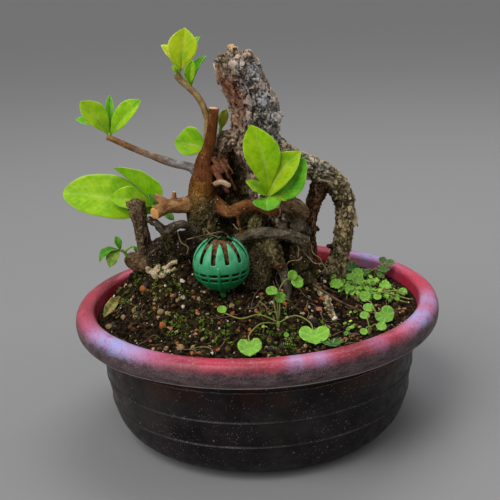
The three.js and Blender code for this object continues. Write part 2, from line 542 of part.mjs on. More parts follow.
function basketShell() {
  const { radius, wall, slats, slotFoot, tip, spike, lowSlots } = BASKET;
  const arc = (reach, start, end) => {
    const [from, to] = [start, end].map(THREE.MathUtils.degToRad);
    return new THREE.Path().absarc(0, 0, reach, from, to, end < start).getPoints(4);
  };
  const profile = [...arc(radius, -90, tip), ...arc(radius - wall, tip, -90)];
  for (const point of profile) point.x = Math.max(0, point.x);
  const slot = new THREE.Shape();
  slot.moveTo(-1.2, slotFoot * radius);
  slot.lineTo(1.2, slotFoot * radius);
  slot.lineTo(2.4, radius);
  slot.lineTo(-2.4, radius);
  const highSlots = around(slats, (turn) => {
    const cut = new THREE.ExtrudeGeometry(slot, { depth: 2 * radius, bevelEnabled: false });
    return solidFrom(cut.translate(0, 0, 2).rotateX(Math.PI / 2).rotateZ(turn + Math.PI / slats));
  });
  const bandSlots = lowSlots.flatMap(({ height, width }) =>
    around(slats / 2, (turn) => {
      const cut = new THREE.BoxGeometry(width, radius, 1.7).translate(0, -radius - 3, height * radius);
      return solidFrom(cut.rotateZ(turn));
    }),
  );
  const pin = new THREE.ConeGeometry(2.2, spike, 6).rotateX(-Math.PI / 2);
  const shell = lathe(profile, 2 * slats).add(solidFrom(pin.translate(0, 0, 1 - radius - spike / 2)));
  return cutBy(shell, [...highSlots, ...bandSlots]).translate(BASKET.at);
}

// The room the basket takes in the soil: its globe and its spike, a little larger
function basketRoom() {
  const { at, radius, spike } = BASKET;
  const globe = new THREE.SphereGeometry(radius + 2 * GAP, 18, 10).rotateX(Math.PI / 2);
  const pin = new THREE.CylinderGeometry(2.9, 0.9, spike + 2, 8).rotateX(Math.PI / 2);
  return solidFrom(globe).add(solidFrom(pin.translate(0, 0, 1 - radius - spike / 2))).translate(at);
}

// Fertiliser pellets, soaked together into one mass that fills the basket
function pellets() {
  const random = seeded(SEED + 1);
  const reach = 13.2;
  const core = solidFrom(new THREE.IcosahedronGeometry(reach, 1));
  const lumps = around(11, (turn, i) => {
    const height = 0.75 - 0.15 * i;
    const out = Math.sqrt(1 - height * height) * reach;
    const lump = new THREE.IcosahedronGeometry(1.7 + 0.5 * random(), 0).rotateX(turn);
    return solidFrom(lump.translate(out, 0, height * reach).rotateZ(2.4 * i));
  });
  return joined([core, ...lumps]).translate(BASKET.at);
}

// Pale crumbly fertiliser cake on the left slope, as [x, y, z, radius] lumps and a straw
const CAKE = [
  [-65, -7, 104.5, 3.6], [-60.5, -9, 105, 4.2], [-55.5, -9.5, 105, 3.8], [-51.5, -12, 104, 3.4],
  [-62, -13, 102.5, 3.2], [-56.5, -14, 102.5, 3.4],
];
const CAKE_STRAW = [[-54, -10, 107], [-50.5, -11.5, 110], [-47.5, -12, 110.5]];
const cake = (grow) =>
  joined([
    ...CAKE.map(([x, y, z, radius], i) => {
      const lump = new THREE.IcosahedronGeometry(radius + grow, 0).rotateX(i).rotateZ(2 * i);
      return solidFrom(lump.translate(x, y, z));
    }),
    stalk(CAKE_STRAW, 1.4, { grow }),
  ]);

// Small plants, each with a crown that stands in the soil. A stalk runs from it to the foot of each leaf,
// by way of the named places or else straight, and blades are bare stalks. Places are
// [x, y, height above the mound], and a leaf points away from the crown unless towards says otherwise.
const PLANTS = {
  violet_front: {
    color: "weed",
    crown: [12, -53.4],
    leaves: [
      { at: [-5.5, -79, 6], by: [[2, -59, 5], [-5, -67, 4]], towards: [0, -1, -0.4], radius: 6, notch: 0.5 },
      { at: [31.5, -67, 6], by: [[22, -52, 7], [30, -57, 7]], towards: [0, -1, -0.2], radius: 8, notch: 0.5 },
      { at: [-20.5, -48.5, 5.5], by: [[1, -52, 5], [-10, -54, 4]], towards: [-0.3, 0.5, 0.6], radius: 2.8 },
      { at: [9, -51.4, 19.7], by: [[11, -53, 8], [10, -52, 14]], towards: [-1, 0, 0], radius: 3.4 },
      { at: [13.8, -52, 17], by: [[13, -53, 9]], towards: [0.2, 0, 1], face: [0.2, -1, 0.2], radius: 3.2 },
      {
        at: [24, -45.4, 23.5], by: [[12, -53, 9], [13, -50, 19], [18, -47, 25]],
        towards: [0.8, -0.2, -0.5], face: [0.4, -0.7, 0.6], radius: 3.6, notch: 0.3,
      },
      {
        at: [21.5, -45, 27], by: [[12, -53, 9], [13, -50, 19], [18, -47, 25]],
        towards: [0, 0.2, 1], face: [0.2, -0.9, 0.2], radius: 2.9,
      },
    ],
  },
  violet_tail: {
    color: "weedDull",
    crown: [39, -68],
    leaves: [{ at: [41, -77, 4], by: [[39, -71, 4.4]], radius: 6.2, notch: 0.3 }],
  },
  violet_right: {
    color: "weed",
    crown: [72, -33],
    leaves: [
      { at: [78, -38.5, 6], face: [-0.25, -0.65, 0.72], radius: 6.2, notch: 0.4 },
      { at: [67.5, -30, 5], radius: 3.3 },
      { at: [68.2, -9.5, 5], towards: [0, 0.4, 0.5], face: [-0.2, -0.8, 0.6], radius: 3.3 },
    ],
  },
  seedlings: {
    color: "weed",
    crown: [65, -55],
    leaves: [
      { at: [63, -48, 7], towards: [-1, 0, 0], radius: 2.9 },
      { at: [71, -60.5, 4.6], radius: 3 },
      { at: [60.5, -64, 3.4], radius: 2.3 },
    ],
  },
  weed_back: {
    color: "weedDull",
    crown: [74, 37],
    leaves: [
      { at: [66, 47, 6.4], radius: 5.4, lobes: 5 },
      { at: [72, 31, 7.4], radius: 4, lobes: 3 },
      { at: [86, 34.5, 8.2], radius: 4.2, lobes: 5 },
      { at: [91, 38, 11.5], by: [[82, 39, 8], [87, 38.5, 10.4]], radius: 2.8 },
      { at: [86.5, 41.5, 12.5], by: [[82, 39, 8], [87, 38.5, 10.4]], towards: [0, 1, 0.5], radius: 2.6 },
    ],
  },
  weed_middle: {
    color: "weed",
    crown: [64, 8],
    leaves: [
      { at: [67, 18.5, 6.4], radius: 4.4, lobes: 3 },
      { at: [51.5, 1.8, 4.6], radius: 4.4, lobes: 5 },
      { at: [76, 17.2, 5.2], radius: 3.4, lobes: 3 },
      { at: [61.5, 15, 8.6], radius: 3, lobes: 3 },
      { at: [59, 0, 5.8], radius: 3.4, lobes: 3 },
      { at: [68, 28, 8.4], by: [[70, 16, 5], [70, 24, 8]], radius: 4.2, lobes: 3 },
    ],
  },
  weed_front: {
    color: "weed",
    crown: [82, 2],
    leaves: [
      { at: [83.6, 10, 5.2], radius: 4, lobes: 3 },
      { at: [93.4, 0, 3.8], radius: 2.8 },
      { at: [76, -8.5, 4.2], radius: 2.6 },
    ],
    blades: [
      [[88, -5, 3.4], [94, -10, 2.8], [97.5, -14, 3.6]],
      [[85, -5, 2.6], [90, -12, 2.2], [93, -18, 3.2]],
    ],
  },
};
const FACE_UP = [0, -0.5, 0.85];
const CROWN_DEPTH = 6;
const STALK_RADIUS = 0.6;

const onMound = ([x, y, lift]) => [x, y, moundHeight(x, y) + lift];
const crownStem = ([x, y], height, grow) =>
  stalk([[x, y, -CROWN_DEPTH], [x, y, height]].map(onMound), 1.2, { steps: 1, grow });

function plant({ crown: [x, y], leaves, blades = [] }) {
  const leave = (reach, share) => [x + 0.9 * Math.cos(share), y + 0.9 * Math.sin(share), reach];
  const stem = (i, way, end) => {
    const share = Math.atan2(way[0][1] - y, way[0][0] - x);
    const points = [...[leave(2 + 0.5 * i, share), ...way].map(onMound), ...end];
    return stalk(points, STALK_RADIUS, { sides: 3, steps: 2 });
  };
  const parts = [crownStem([x, y], 2.6 + 0.5 * (leaves.length + blades.length), 0)];
  leaves.forEach(({ at, by, towards, face = FACE_UP, ...shape }, i) => {
    const halfway = [(x + at[0]) / 2, (y + at[1]) / 2, 1.5 + 0.8 * at[2]];
    const away = towards ?? [at[0] - x, at[1] - y, 0];
    const { solid, foot } = roundLeaf({ at: onMound(at), towards: away, face, ...shape });
    parts.push(stem(i, by ?? [halfway], [foot]), solid);
  });
  blades.forEach((blade, i) => parts.push(stem(leaves.length + i, blade, [])));
  return joined(parts);
}

// Dry bits that lie on the soil
const DEAD_LEAF = { from: [-87, 4, 84.5], to: [-94.5, -20, 79.8], face: [0.4, -0.3, 0.85], width: 8 };
const DRY_TWIG = [[27, -7, 97.8], [40, -14, 89], [52, -21, 82.4], [64, -28, 78.2]];
const dryTwig = (grow) => stalk(DRY_TWIG, 0.8, { steps: 5, grow });

// Clearances are cut from the softer neighbour: soil gives way to wood, basket, stems and lying bits
const treeRoom = treeSolid(GAP);
const deadLeafRoom = leaf({ ...DEAD_LEAF, width: DEAD_LEAF.width + 2 * GAP, thick: LEAF + 2 * GAP });
const standingRoom = [
  treeRoom,
  basketRoom(),
  cake(GAP),
  dryTwig(GAP),
  deadLeafRoom,
  ...Object.values(PLANTS).map(({ crown }) => crownStem(crown, 1, GAP)),
];

const part = new THREE.Group();
function add(name, solid, material) {
  const mesh = new THREE.Mesh(geometryFrom(biggest(solid)), material);
  mesh.name = name;
  part.add(mesh);
}

add("bowl", bowl(), FINISH.bowl);
add("soil", cutBy(joined([soilBody(), ...pebbles()]), standingRoom), FINISH.soil);
add("tree", treeSolid(0), FINISH.bark);
for (const [name, shoot] of Object.entries(SHOOTS))
  add(name, shootSolid(shoot).subtract(treeRoom), name === "bud_leaf" ? FINISH.leafOlive : FINISH.leaf);
add("basket", basketShell(), FINISH.basket);
add("pellets", pellets(), FINISH.pellet);
add("fertiliser_cake", cake(0).subtract(treeRoom), FINISH.crumb);
add("dry_twig", dryTwig(0).subtract(treeRoom), FINISH.twig);
add("dead_leaf", leaf(DEAD_LEAF), FINISH.dead);
for (const [name, growing] of Object.entries(PLANTS)) add(name, plant(growing), FINISH[growing.color]);

export default part;
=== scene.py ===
"""A flowering quince kept as a bonsai: an old, cut-back stump with an arching surface root, young spring
shoots, a slotted fertiliser basket and small weeds, on a soil mound in a round plastic training bowl."""
import json
import math
from collections import namedtuple
from random import Random

import bmesh
import bpy
import numpy as np
from bpy.props import FloatProperty, FloatVectorProperty, IntProperty, PointerProperty
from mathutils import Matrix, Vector

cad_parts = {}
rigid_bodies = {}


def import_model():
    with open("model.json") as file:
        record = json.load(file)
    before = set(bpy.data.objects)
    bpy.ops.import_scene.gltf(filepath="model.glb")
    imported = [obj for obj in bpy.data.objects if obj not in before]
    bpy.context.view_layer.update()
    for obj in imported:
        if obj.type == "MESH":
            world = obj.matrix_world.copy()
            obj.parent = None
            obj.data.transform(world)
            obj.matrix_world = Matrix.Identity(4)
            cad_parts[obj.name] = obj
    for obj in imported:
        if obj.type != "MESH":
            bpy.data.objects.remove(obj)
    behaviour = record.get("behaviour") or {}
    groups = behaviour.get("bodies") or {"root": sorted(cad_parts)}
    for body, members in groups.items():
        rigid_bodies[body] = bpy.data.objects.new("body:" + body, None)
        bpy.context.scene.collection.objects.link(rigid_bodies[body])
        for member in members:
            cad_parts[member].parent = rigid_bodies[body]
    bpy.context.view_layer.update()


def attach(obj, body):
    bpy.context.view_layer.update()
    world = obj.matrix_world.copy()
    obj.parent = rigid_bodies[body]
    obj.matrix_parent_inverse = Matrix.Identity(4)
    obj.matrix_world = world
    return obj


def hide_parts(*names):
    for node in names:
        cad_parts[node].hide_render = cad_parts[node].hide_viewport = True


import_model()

bl_info = {
    "name": "Flowering quince bonsai",
    "version": (1, 0, 0),
    "blender": (4, 5, 0),
    "location": "View3D > Sidebar > Quince",
    "description": "Builds a potted flowering quince, its shoots, soil, basket and weeds",
    "category": "Add Mesh",
}

# Places and sizes in the code are in millimetres, and meshes, materials and properties are in metres
MM = 0.001
BODY = "root"


# Sizes and colours that a user may change


def size(name, about, default):
    """A length in metres, from a default in millimetres."""
    return FloatProperty(
        name=name, description=about, default=default * MM, min=0, unit="LENGTH", precision=5
    )


def colour(name, about, default):
    """A linear colour."""
    return FloatVectorProperty(
        name=name, description=about, default=default, subtype="COLOR", size=3, min=0, max=1
    )


def count(name, about, default):
    """A whole number."""
    return IntProperty(name=name, description=about, default=default, min=0)


def amount(name, about, default):
    """A plain number."""
    return FloatProperty(name=name, description=about, default=default, min=0)


class BowlSettings(bpy.types.PropertyGroup):
    """The plastic training bowl"""

    steps: count("Steps round", "Faces round the bowl", 200)
    waver: size("Waver", "How far the worn rim wavers", 0.25)
    crimson: colour("Crimson", "Main colour of the rim", (0.47, 0.024, 0.062))
    pink: colour("Pink", "Faded colour of the rim", (0.52, 0.09, 0.15))
    lavender: colour("Lavender", "Bluish patches on the rim", (0.34, 0.34, 0.66))
    wall: colour("Wall", "Dark colour of the wall", (0.006, 0.0045, 0.005))
    wall_warm: colour("Warm wall", "Red-brown tinge of the upper wall", (0.032, 0.008, 0.004))
    dust: colour("Dust", "Dried splashes and scratches", (0.22, 0.19, 0.17))


class SoilSettings(bpy.types.PropertyGroup):
    """The soil, its grit and its moss"""

    clod: size("Clods", "How far the clods rise", 1.5)
    dark: colour("Dark", "Damp soil", (0.004, 0.003, 0.002))
    light: colour("Light", "Dry crumbs", (0.045, 0.028, 0.015))
    moss: colour("Moss", "Moss film on the soil", (0.03, 0.042, 0.01))
    grains: count("Grains", "Fine grains over the mound", 5200)
    pebbles: count("Pebbles", "Coarse granules over the mound", 430)
    tufts: count("Tufts", "Moss shoots on the mossy patches", 5200)
    seed: count("Seed", "Seed of all random places", 7)


class TreeSettings(bpy.types.PropertyGroup):
    """The tree's wood and bark"""

    grid: size("Grid", "Spacing of the wood's surface", 0.56)
    relief: amount("Relief", "Depth of the bark, as a factor", 1)
    faces: count("Triangles", "Most triangles in the wood", 190000)
    flakes: count("Flakes", "Loose flakes on each square decimetre of old bark", 260)
    tufts: count("Tufts", "Moss shoots on each square decimetre of mossy wood", 1500)
    lichen: colour("Lichen", "Grey-blue lichen", (0.54, 0.57, 0.61))
    moss: colour("Moss", "Moss in the bark", (0.09, 0.085, 0.02))


class LeafSettings(bpy.types.PropertyGroup):
    """The quince's young leaves"""

    thickness: size("Thickness", "Thickness of a blade", 0.34)
    tooth: size("Tooth", "How far an edge tooth steps in", 0.42)
    pitch: size("Tooth pitch", "Length of one edge tooth", 1.7)
    vein: size("Vein depth", "How far a side vein sinks in", 0.22)
    # The rib colour also paints a highlight along each leaf's edge
    rib: colour("Rib", "Pale midrib and edge", (0.55, 0.72, 0.25))
    stem: colour("Stem", "Young green stems", (0.3, 0.42, 0.07))


class BasketSettings(bpy.types.PropertyGroup):
    """The fertiliser basket and its pellets"""

    slats: count("Slats", "Slats round the open top", 12)
    green: colour("Green", "Deep green of the plastic", (0.003, 0.2, 0.065))
    # The mint colour is a painted highlight on the slats' edges and the top
    mint_highlight: colour("Mint", "Bloom on the plastic's worn edges", (0.13, 0.56, 0.3))
    pellet: colour("Pellet", "Soaked fertiliser pellets", (0.17, 0.075, 0.035))


class WeedSettings(bpy.types.PropertyGroup):
    """Violets, small weeds and seedlings"""

    thickness: size("Thickness", "Thickness of a blade", 0.3)
    strewn: amount("Small leaves", "How many small leaves stand round each weed, as a factor", 1)
    bright: colour("Bright", "Young violet leaves", (0.14, 0.33, 0.035))
    dull: colour("Dull", "Older leaves", (0.035, 0.1, 0.02))
    stem: colour("Stem", "Stalks and runners", (0.2, 0.22, 0.06))


class StageSettings(bpy.types.PropertyGroup):
    """Floor, lights and camera"""

    floor: colour("Floor", "Pale grey floor", (0.25, 0.25, 0.256))
    focal: amount("Focal length", "Camera lens in millimetres", 67.567)
    key: amount("Key light", "Power of the large light above, in watts", 18.5)
    window: amount("Window light", "Strength of the even light from the left", 1.7)
    sky: amount("Sky", "Strength of the even light from all round", 0.32)


SETTINGS = {
    "quince_bowl": BowlSettings,
    "quince_soil": SoilSettings,
    "quince_tree": TreeSettings,
    "quince_leaf": LeafSettings,
    "quince_basket": BasketSettings,
    "quince_weeds": WeedSettings,
    "quince_stage": StageSettings,
}


# Meshes, objects and how they join the frame


def linked(name, data):
    """A new object at the origin that holds a mesh, a camera or a lamp."""
    made = bpy.data.objects.new(name, data)
    bpy.context.scene.collection.objects.link(made)
    return made


def mesh_from(name, points, faces):
    """A smooth mesh from points in millimetres."""
    mesh = bpy.data.meshes.new(name)
    mesh.from_pydata((np.asarray(points, dtype=float) * MM).tolist(), [], faces)
    mesh.shade_smooth()
    return mesh


def built(name, points, faces):
    """A new object from points in millimetres."""
    return linked(name, mesh_from(name, points, faces))


def merged(solids):
    """One list of points and one of faces from several (points, faces) solids."""
    points, faces, start = [], [], 0
    for solid_points, solid_faces in solids:
        points.append(np.asarray(solid_points, dtype=float))
        faces.extend([[start + corner for corner in face] for face in solid_faces])
        start += len(solid_points)
    return np.vstack(points), faces


def settled(made):
    """Turns what an object's modifiers make into its plain mesh."""
    graph = bpy.context.evaluated_depsgraph_get()
    evaluated = made.evaluated_get(graph)
    mesh = bpy.data.meshes.new_from_object(evaluated, preserve_all_data_layers=True, depsgraph=graph)
    made.modifiers.clear()
    made.data = mesh
    return made


def fused(made, spacing, rounds=0):
    """Makes one skin of a body whose parts overlap, with its points spacing metres apart, and evens it."""
    skin = made.modifiers.new("Fused", "REMESH")
    skin.mode = "VOXEL"
    skin.voxel_size = spacing
    if rounds:
        evened = made.modifiers.new("Evened", "SMOOTH")
        evened.factor = 0.5
        evened.iterations = rounds
    return settled(made)


def joined(made, extra):
    """Moves a second mesh into an object's own."""
    work = bmesh.new()
    work.from_mesh(made.data)
    work.from_mesh(extra)
    work.to_mesh(made.data)
    work.free()
    bpy.data.meshes.remove(extra)
    return made


def outward(made):
    """Merges an object's doubles and turns its faces outwards."""
    work = bmesh.new()
    work.from_mesh(made.data)
    bmesh.ops.remove_doubles(work, verts=work.verts, dist=1e-6)
    bmesh.ops.recalc_face_normals(work, faces=work.faces)
    work.to_mesh(made.data)
    work.free()
    made.data.shade_smooth()
    return made


def triples(items, name):
    """A row of three numbers from each of a mesh's items."""
    flat = np.empty(3 * len(items))
    items.foreach_get(name, flat)
    return flat.reshape(-1, 3)


def points_of(mesh):
    """The mesh's points in millimetres."""
    return triples(mesh.vertices, "co") / MM


def normals_of(mesh):
    return triples(mesh.vertex_normals, "vector")


def move_points(mesh, points):
    """Puts the mesh's points at places in millimetres."""
    mesh.vertices.foreach_set("co", (points * MM).ravel())
    mesh.update()


def mark(mesh, name, values):
    """Stores one number for each point, which the material reads."""
    layer = mesh.attributes.new(name, "FLOAT", "POINT")
    layer.data.foreach_set("value", np.asarray(values, dtype=np.float32))


def tint(mesh, name, colours):
    """Stores one colour for each point, which the material reads."""
    layer = mesh.attributes.new(name, "FLOAT_COLOR", "POINT")
    rgba = np.ones((len(mesh.vertices), 4), dtype=np.float32)
    rgba[:, :3] = colours
    layer.data.foreach_set("color", rgba.ravel())


def finished(made, nodes, material=None):
    """Gives a piece its material, and its place in the frame."""
    if material:
        made.data.materials.clear()
        made.data.materials.append(material)
    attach(made, BODY)
    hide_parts(*nodes)
    return made


# Seeded noise over points, for shapes


HASH_FACTORS = np.array([73856093, 19349663, 83492791])
HASH_MIXERS = (2246822519, 3266489917)
HASH_BITS = 0xFFFFFFFF


def hashed(cells, seed):
    """A number in 0..1 for each whole-number cell."""
    mixed = (cells @ HASH_FACTORS + seed * 9781 + 12345) & HASH_BITS
    mixed = ((mixed ^ (mixed >> 15)) * HASH_MIXERS[0]) & HASH_BITS
    mixed = ((mixed ^ (mixed >> 13)) * HASH_MIXERS[1]) & HASH_BITS
    return (mixed ^ (mixed >> 16)) / HASH_BITS


def smoothstep(values, low, high):
    """0 under low, 1 over high, and smooth between."""
    part = np.clip((values - low) / (high - low), 0, 1)
    return part * part * (3 - 2 * part)


def bumps(points, pitch, seed=0):
    """Smooth noise from -1 to 1, whose bumps are about pitch apart."""
    scaled = points / pitch
    cells = np.floor(scaled).astype(np.int64)
    part = smoothstep(scaled - cells, 0, 1)
    total = np.zeros(len(points))
    for corner in np.ndindex(2, 2, 2):
        weight = np.prod(np.where(corner, part, 1 - part), axis=1)
        total += weight * hashed(cells + np.array(corner), seed)
    return 2 * total - 1


def rough(points, pitch, seed=0, octaves=3):
    """Noise with finer noise on top of it, about -1 to 1."""
    layers = [bumps(points, pitch / 2**i, seed + i) / 1.7**i for i in range(octaves)]
    return sum(layers) / 1.4


def plates(points, pitch, seed=0):
    """Angular cells like bark plates: how far each point is from the nearest crack, a number for its plate,
    and how far along the plate it lies."""
    scaled = points / pitch
    cells = np.floor(scaled).astype(np.int64)
    nearest = np.full(len(points), 9.0)
    second = np.full(len(points), 9.0)
    number = np.zeros(len(points))
    lean = np.zeros(len(points))
    for step in np.ndindex(3, 3, 3):
        at = cells + np.array(step) - 1
        centre = at + np.stack([hashed(at, seed + axis) for axis in range(3)], axis=1)
        offset = scaled - centre
        away = 0.65 * np.abs(offset).sum(axis=1)
        closer = away < nearest
        second = np.where(closer, nearest, np.minimum(second, away))
        number = np.where(closer, hashed(at, seed + 9), number)
        lean = np.where(closer, offset[:, 0], lean)
        nearest = np.minimum(nearest, away)
    return second - nearest, number, lean


# Paths and tubes


def smooth_path(points, per_span):
    """A centripetal Catmull-Rom curve through rows of x, y, z and whatever comes after them."""
    known = np.array(points, dtype=float)
    known = np.vstack([2 * known[0] - known[1], known, 2 * known[-1] - known[-2]])
    gap = np.linalg.norm(np.diff(known[:, :3], axis=0), axis=1) ** 0.5
    part = np.linspace(0, 1, per_span, endpoint=False)[:, None]
    spans = []
    for i in range(1, len(known) - 2):
        a, b, c, d = known[i - 1:i + 3]
        leave = ((b - a) / gap[i - 1] - (c - a) / (gap[i - 1] + gap[i]) + (c - b) / gap[i]) * gap[i]
        arrive = ((c - b) / gap[i] - (d - b) / (gap[i] + gap[i + 1]) + (d - c) / gap[i + 1]) * gap[i]
        spans.append(
            b + leave * part + (3 * (c - b) - 2 * leave - arrive) * part**2
            + (2 * (b - c) + leave + arrive) * part**3
        )
    return np.vstack([*spans, known[-2:-1]])


def unit(vector):
    vector = np.asarray(vector, dtype=float)
    return vector / np.linalg.norm(vector)


def directions(places):
    """The tangent and two cross directions at each place of a path, without twist."""
    tangents = np.gradient(places, axis=0)
    tangents /= np.linalg.norm(tangents, axis=1)[:, None]
    side = np.cross((0, 0, 1), tangents[0])
    if np.linalg.norm(side) < 0.03:
        side = np.array((1.0, 0, 0))
    sides = []
    for tangent in tangents:
        side = unit(side - tangent * (side @ tangent))
        sides.append(side)
    return tangents, np.array(sides), np.cross(sides, tangents)


def grid_faces(rows, columns, closed=True):
    """Four-cornered faces over rows of points, which run round or end at their last column."""
    return [
        [i * columns + j, i * columns + k, (i + 1) * columns + k, (i + 1) * columns + j]
        for i in range(rows - 1)
        for j in range(columns if closed else columns - 1)
        for k in [(j + 1) % columns]
    ]


def closed_rings(rings, first, last):
    """A body through rings of points, which a point closes at each end."""
    rows, columns = rings.shape[:2]
    end = rows * columns
    faces = grid_faces(rows, columns)
    for j in range(columns):
        k = (j + 1) % columns
        faces += [[end, k, j], [end + 1, end - columns + j, end - columns + k]]
    return np.vstack([rings.reshape(-1, 3), first, last]), faces


def lathe(outline, steps):
    """A closed body turned from an outline that starts and ends on the axis."""
    turns = np.linspace(0, 2 * math.pi, steps, endpoint=False)
    radii, heights = outline[1:-1, :1], outline[1:-1, 1:]
    rows = [radii * np.cos(turns), radii * np.sin(turns), np.repeat(heights, steps, axis=1)]
    rings = np.stack(rows, axis=2)
    return closed_rings(rings, (0, 0, outline[0][1]), (0, 0, outline[-1][1]))


def tube(path, sides=8, flute=None):
    """A closed tube along rows of x, y, z, radius. flute gives a factor of the radius for each step and
    turn."""
    path = np.asarray(path, dtype=float)
    places = path[:, :3]
    _, across, up = directions(places)
    turns = np.linspace(0, 2 * math.pi, sides, endpoint=False)
    factor = flute(np.arange(len(path))[:, None], turns[None, :]) if flute else np.ones((len(path), sides))
    out = path[:, 3:] * factor
    rings = (
        places[:, None, :]
        + across[:, None, :] * (np.cos(turns) * out)[:, :, None]
        + up[:, None, :] * (np.sin(turns) * out)[:, :, None]
    )
    return closed_rings(rings, places[0], places[-1])


def strand(points, radius, per_span, sides):
    """A smooth tube of one radius through points."""
    return tube(smooth_path([(*point, radius) for point in points], per_span), sides)


# Node trees and materials


class Wire:
    """A value in a tree of nodes. Arithmetic on it adds nodes, and a | b is the higher of two."""

    def __init__(self, sheet, socket):
        self.sheet = sheet
        self.socket = socket

    def __add__(self, other):
        return self.sheet.math("ADD", self, other)

    def __sub__(self, other):
        return self.sheet.math("SUBTRACT", self, other)

    def __rsub__(self, other):
        return self.sheet.math("SUBTRACT", other, self)

    def __mul__(self, other):
        return self.sheet.math("MULTIPLY", self, other)

    def __truediv__(self, other):
        return self.sheet.math("DIVIDE", self, other)

    def __rtruediv__(self, other):
        return self.sheet.math("DIVIDE", other, self)

    def __or__(self, other):
        return self.sheet.math("MAXIMUM", self, other)

    def __abs__(self):
        return self.sheet.math("ABSOLUTE", self)

    def mix(self, factor, second):
        """This colour, with a second over it by factor."""
        return self.sheet.mix(factor, self, second)

    def step(self, low, high, start=0.0, end=1.0):
        """start at low, end at high, smooth between and level beyond."""
        inputs = {0: self, 1: low, 2: high, 3: start, 4: end}
        return self.sheet.wire("ShaderNodeMapRange", inputs, interpolation_type="SMOOTHSTEP")


class NodeSheet:
    """Adds nodes to a tree and joins them up."""

    def __init__(self, tree):
        self.tree = tree

    def feed(self, socket, value):
        """Links an input to a wire or a socket, or sets it to a plain value."""
        value = getattr(value, "socket", value)
        if isinstance(value, bpy.types.NodeSocket):
            self.tree.links.new(value, socket)
        elif socket.type == "RGBA" and len(value) == 3:
            socket.default_value = (*value, 1)
        else:
            socket.default_value = value

    def add(self, kind, inputs=None, **settings):
        """A new node."""
        node = self.tree.nodes.new(kind)
        for name, value in settings.items():
            setattr(node, name, value)
        for name, value in (inputs or {}).items():
            self.feed(node.inputs[name], value)
        return node

    def wire(self, kind, inputs=None, output=0, **settings):
        """One output of a new node."""
        return Wire(self, self.add(kind, inputs, **settings).outputs[output])

    def math(self, operation, first, second=0.0):
        return self.wire("ShaderNodeMath", {0: first, 1: second}, operation=operation)

    def vector_math(self, operation, first, second=(0, 0, 0), output="Vector"):
        return self.wire("ShaderNodeVectorMath", {0: first, 1: second}, output, operation=operation)

    def mix(self, factor, first, second):
        """The first colour, with the second over it by factor."""
        return self.wire("ShaderNodeMix", {0: factor, 6: first, 7: second}, 2, data_type="RGBA")

    def upward(self, height):
        """A place this high on the axis."""
        return self.wire("ShaderNodeCombineXYZ", {"Z": height})

    def clouds(self, place, scale, detail, roughness=0.5):
        """Noise in 0..1, with about scale bumps to the unit."""
        inputs = {"Vector": place, "Scale": scale, "Detail": detail, "Roughness": roughness}
        return self.wire("ShaderNodeTexNoise", inputs)

    def attribute(self, name, output="Fac"):
        return self.wire("ShaderNodeAttribute", None, output, attribute_name=name)


class MaterialSheet(NodeSheet):
    """The nodes of a new material, which read the object's own coordinates."""

    def __init__(self, name, gloss=0.03):
        self.made = bpy.data.materials.new(name)
        self.made.use_nodes = True
        super().__init__(self.made.node_tree)
        self.gloss = gloss
        self.place = self.wire("ShaderNodeTexCoord", None, "Object")

    def height(self):
        return self.wire("ShaderNodeSeparateXYZ", {0: self.place}, "Z")

    def noise(self, pitch, detail, roughness=0.55, place=None):
        """Noise in 0..1 whose bumps are about pitch millimetres apart."""
        return self.clouds(place or self.place, 1 / (pitch * MM), detail, roughness)

    def shared(self, name, **inputs):
        """What a shader group puts out that several materials use."""
        return self.wire("ShaderNodeGroup", {"Vector": self.place, **inputs}, node_tree=shared_tree(name))

    def specks(self, scale, share):
        """A mask of small specks."""
        return self.shared("Specks", Size=scale, Amount=share)

    def weathered(self, first, second, scale, share, darkening):
        """Blotches of a second colour over a first, and finer darkening in both."""
        return self.shared(
            "Weathering", First=first, Second=second, Size=scale, Amount=share, Darkening=darkening
        )

    def relief(self, scale, depth):
        """A height in metres of fine grain."""
        return self.shared("Fine relief", Size=scale, Depth=depth)

    def blade_colour(self, mottle):
        """A leaf's own two colours, mottled."""
        return self.mix(mottle, self.attribute("blade", "Color"), self.attribute("blade_pale", "Color"))

    def done(self, shade, roughness, relief=None, strength=1.0, soak=None, **more):
        """The material, with its shader fed. relief is a height in metres, and soak the weight, radius and
        scale of the light that sinks in."""
        shader = self.tree.nodes["Principled BSDF"]
        inputs = {"Base Color": shade, "Roughness": roughness, "Specular IOR Level": self.gloss}
        if relief:
            bump = {"Height": relief, "Distance": 1.0, "Strength": strength}
            inputs["Normal"] = self.wire("ShaderNodeBump", bump)
        if soak:
            inputs.update(zip(("Subsurface Weight", "Subsurface Radius", "Subsurface Scale"), soak))
        for name, value in more.items():
            inputs[name.replace("_", " ").title()] = value
        for name, value in inputs.items():
            self.feed(shader.inputs[name], value)
        return self.made


def node_group(name, family, output, **inputs):
    """A new group of nodes, its sheet, its inputs as wires and the socket of its one output. Inputs are given
    by their kinds, and the output as its name and kind."""
    made = bpy.data.node_groups.new(name, f"{family}NodeTree")
    made.interface.new_socket(output[0], in_out="OUTPUT", socket_type=f"NodeSocket{output[1]}")
    for title, kind in inputs.items():
        made.interface.new_socket(title, in_out="INPUT", socket_type=f"NodeSocket{kind}")
    sheet = NodeSheet(made)
    given = {socket.name: Wire(sheet, socket) for socket in sheet.add("NodeGroupInput").outputs}
    return made, sheet, given, sheet.add("NodeGroupOutput").inputs[0]


def weathering_group(name):
    """Blotches of a second colour over a first, and finer darkening in both."""
    made, sheet, given, out = node_group(
        name, "Shader", ("Color", "Color"), Vector="Vector", First="Color", Second="Color", Size="Float",
        Amount="Float", Darkening="Float",
    )
    low = 0.9 - given["Amount"]
    blotches = sheet.clouds(given["Vector"], given["Size"], 4.0).step(low - 0.12, low + 0.12)
    darker = sheet.clouds(given["Vector"], given["Size"] * 5.3, 5.0).step(0.35, 0.6, 1.0, 0.0)
    shade = given["First"].mix(blotches, given["Second"])
    sheet.feed(out, shade.mix(darker * given["Darkening"], (0, 0, 0)))
    return made


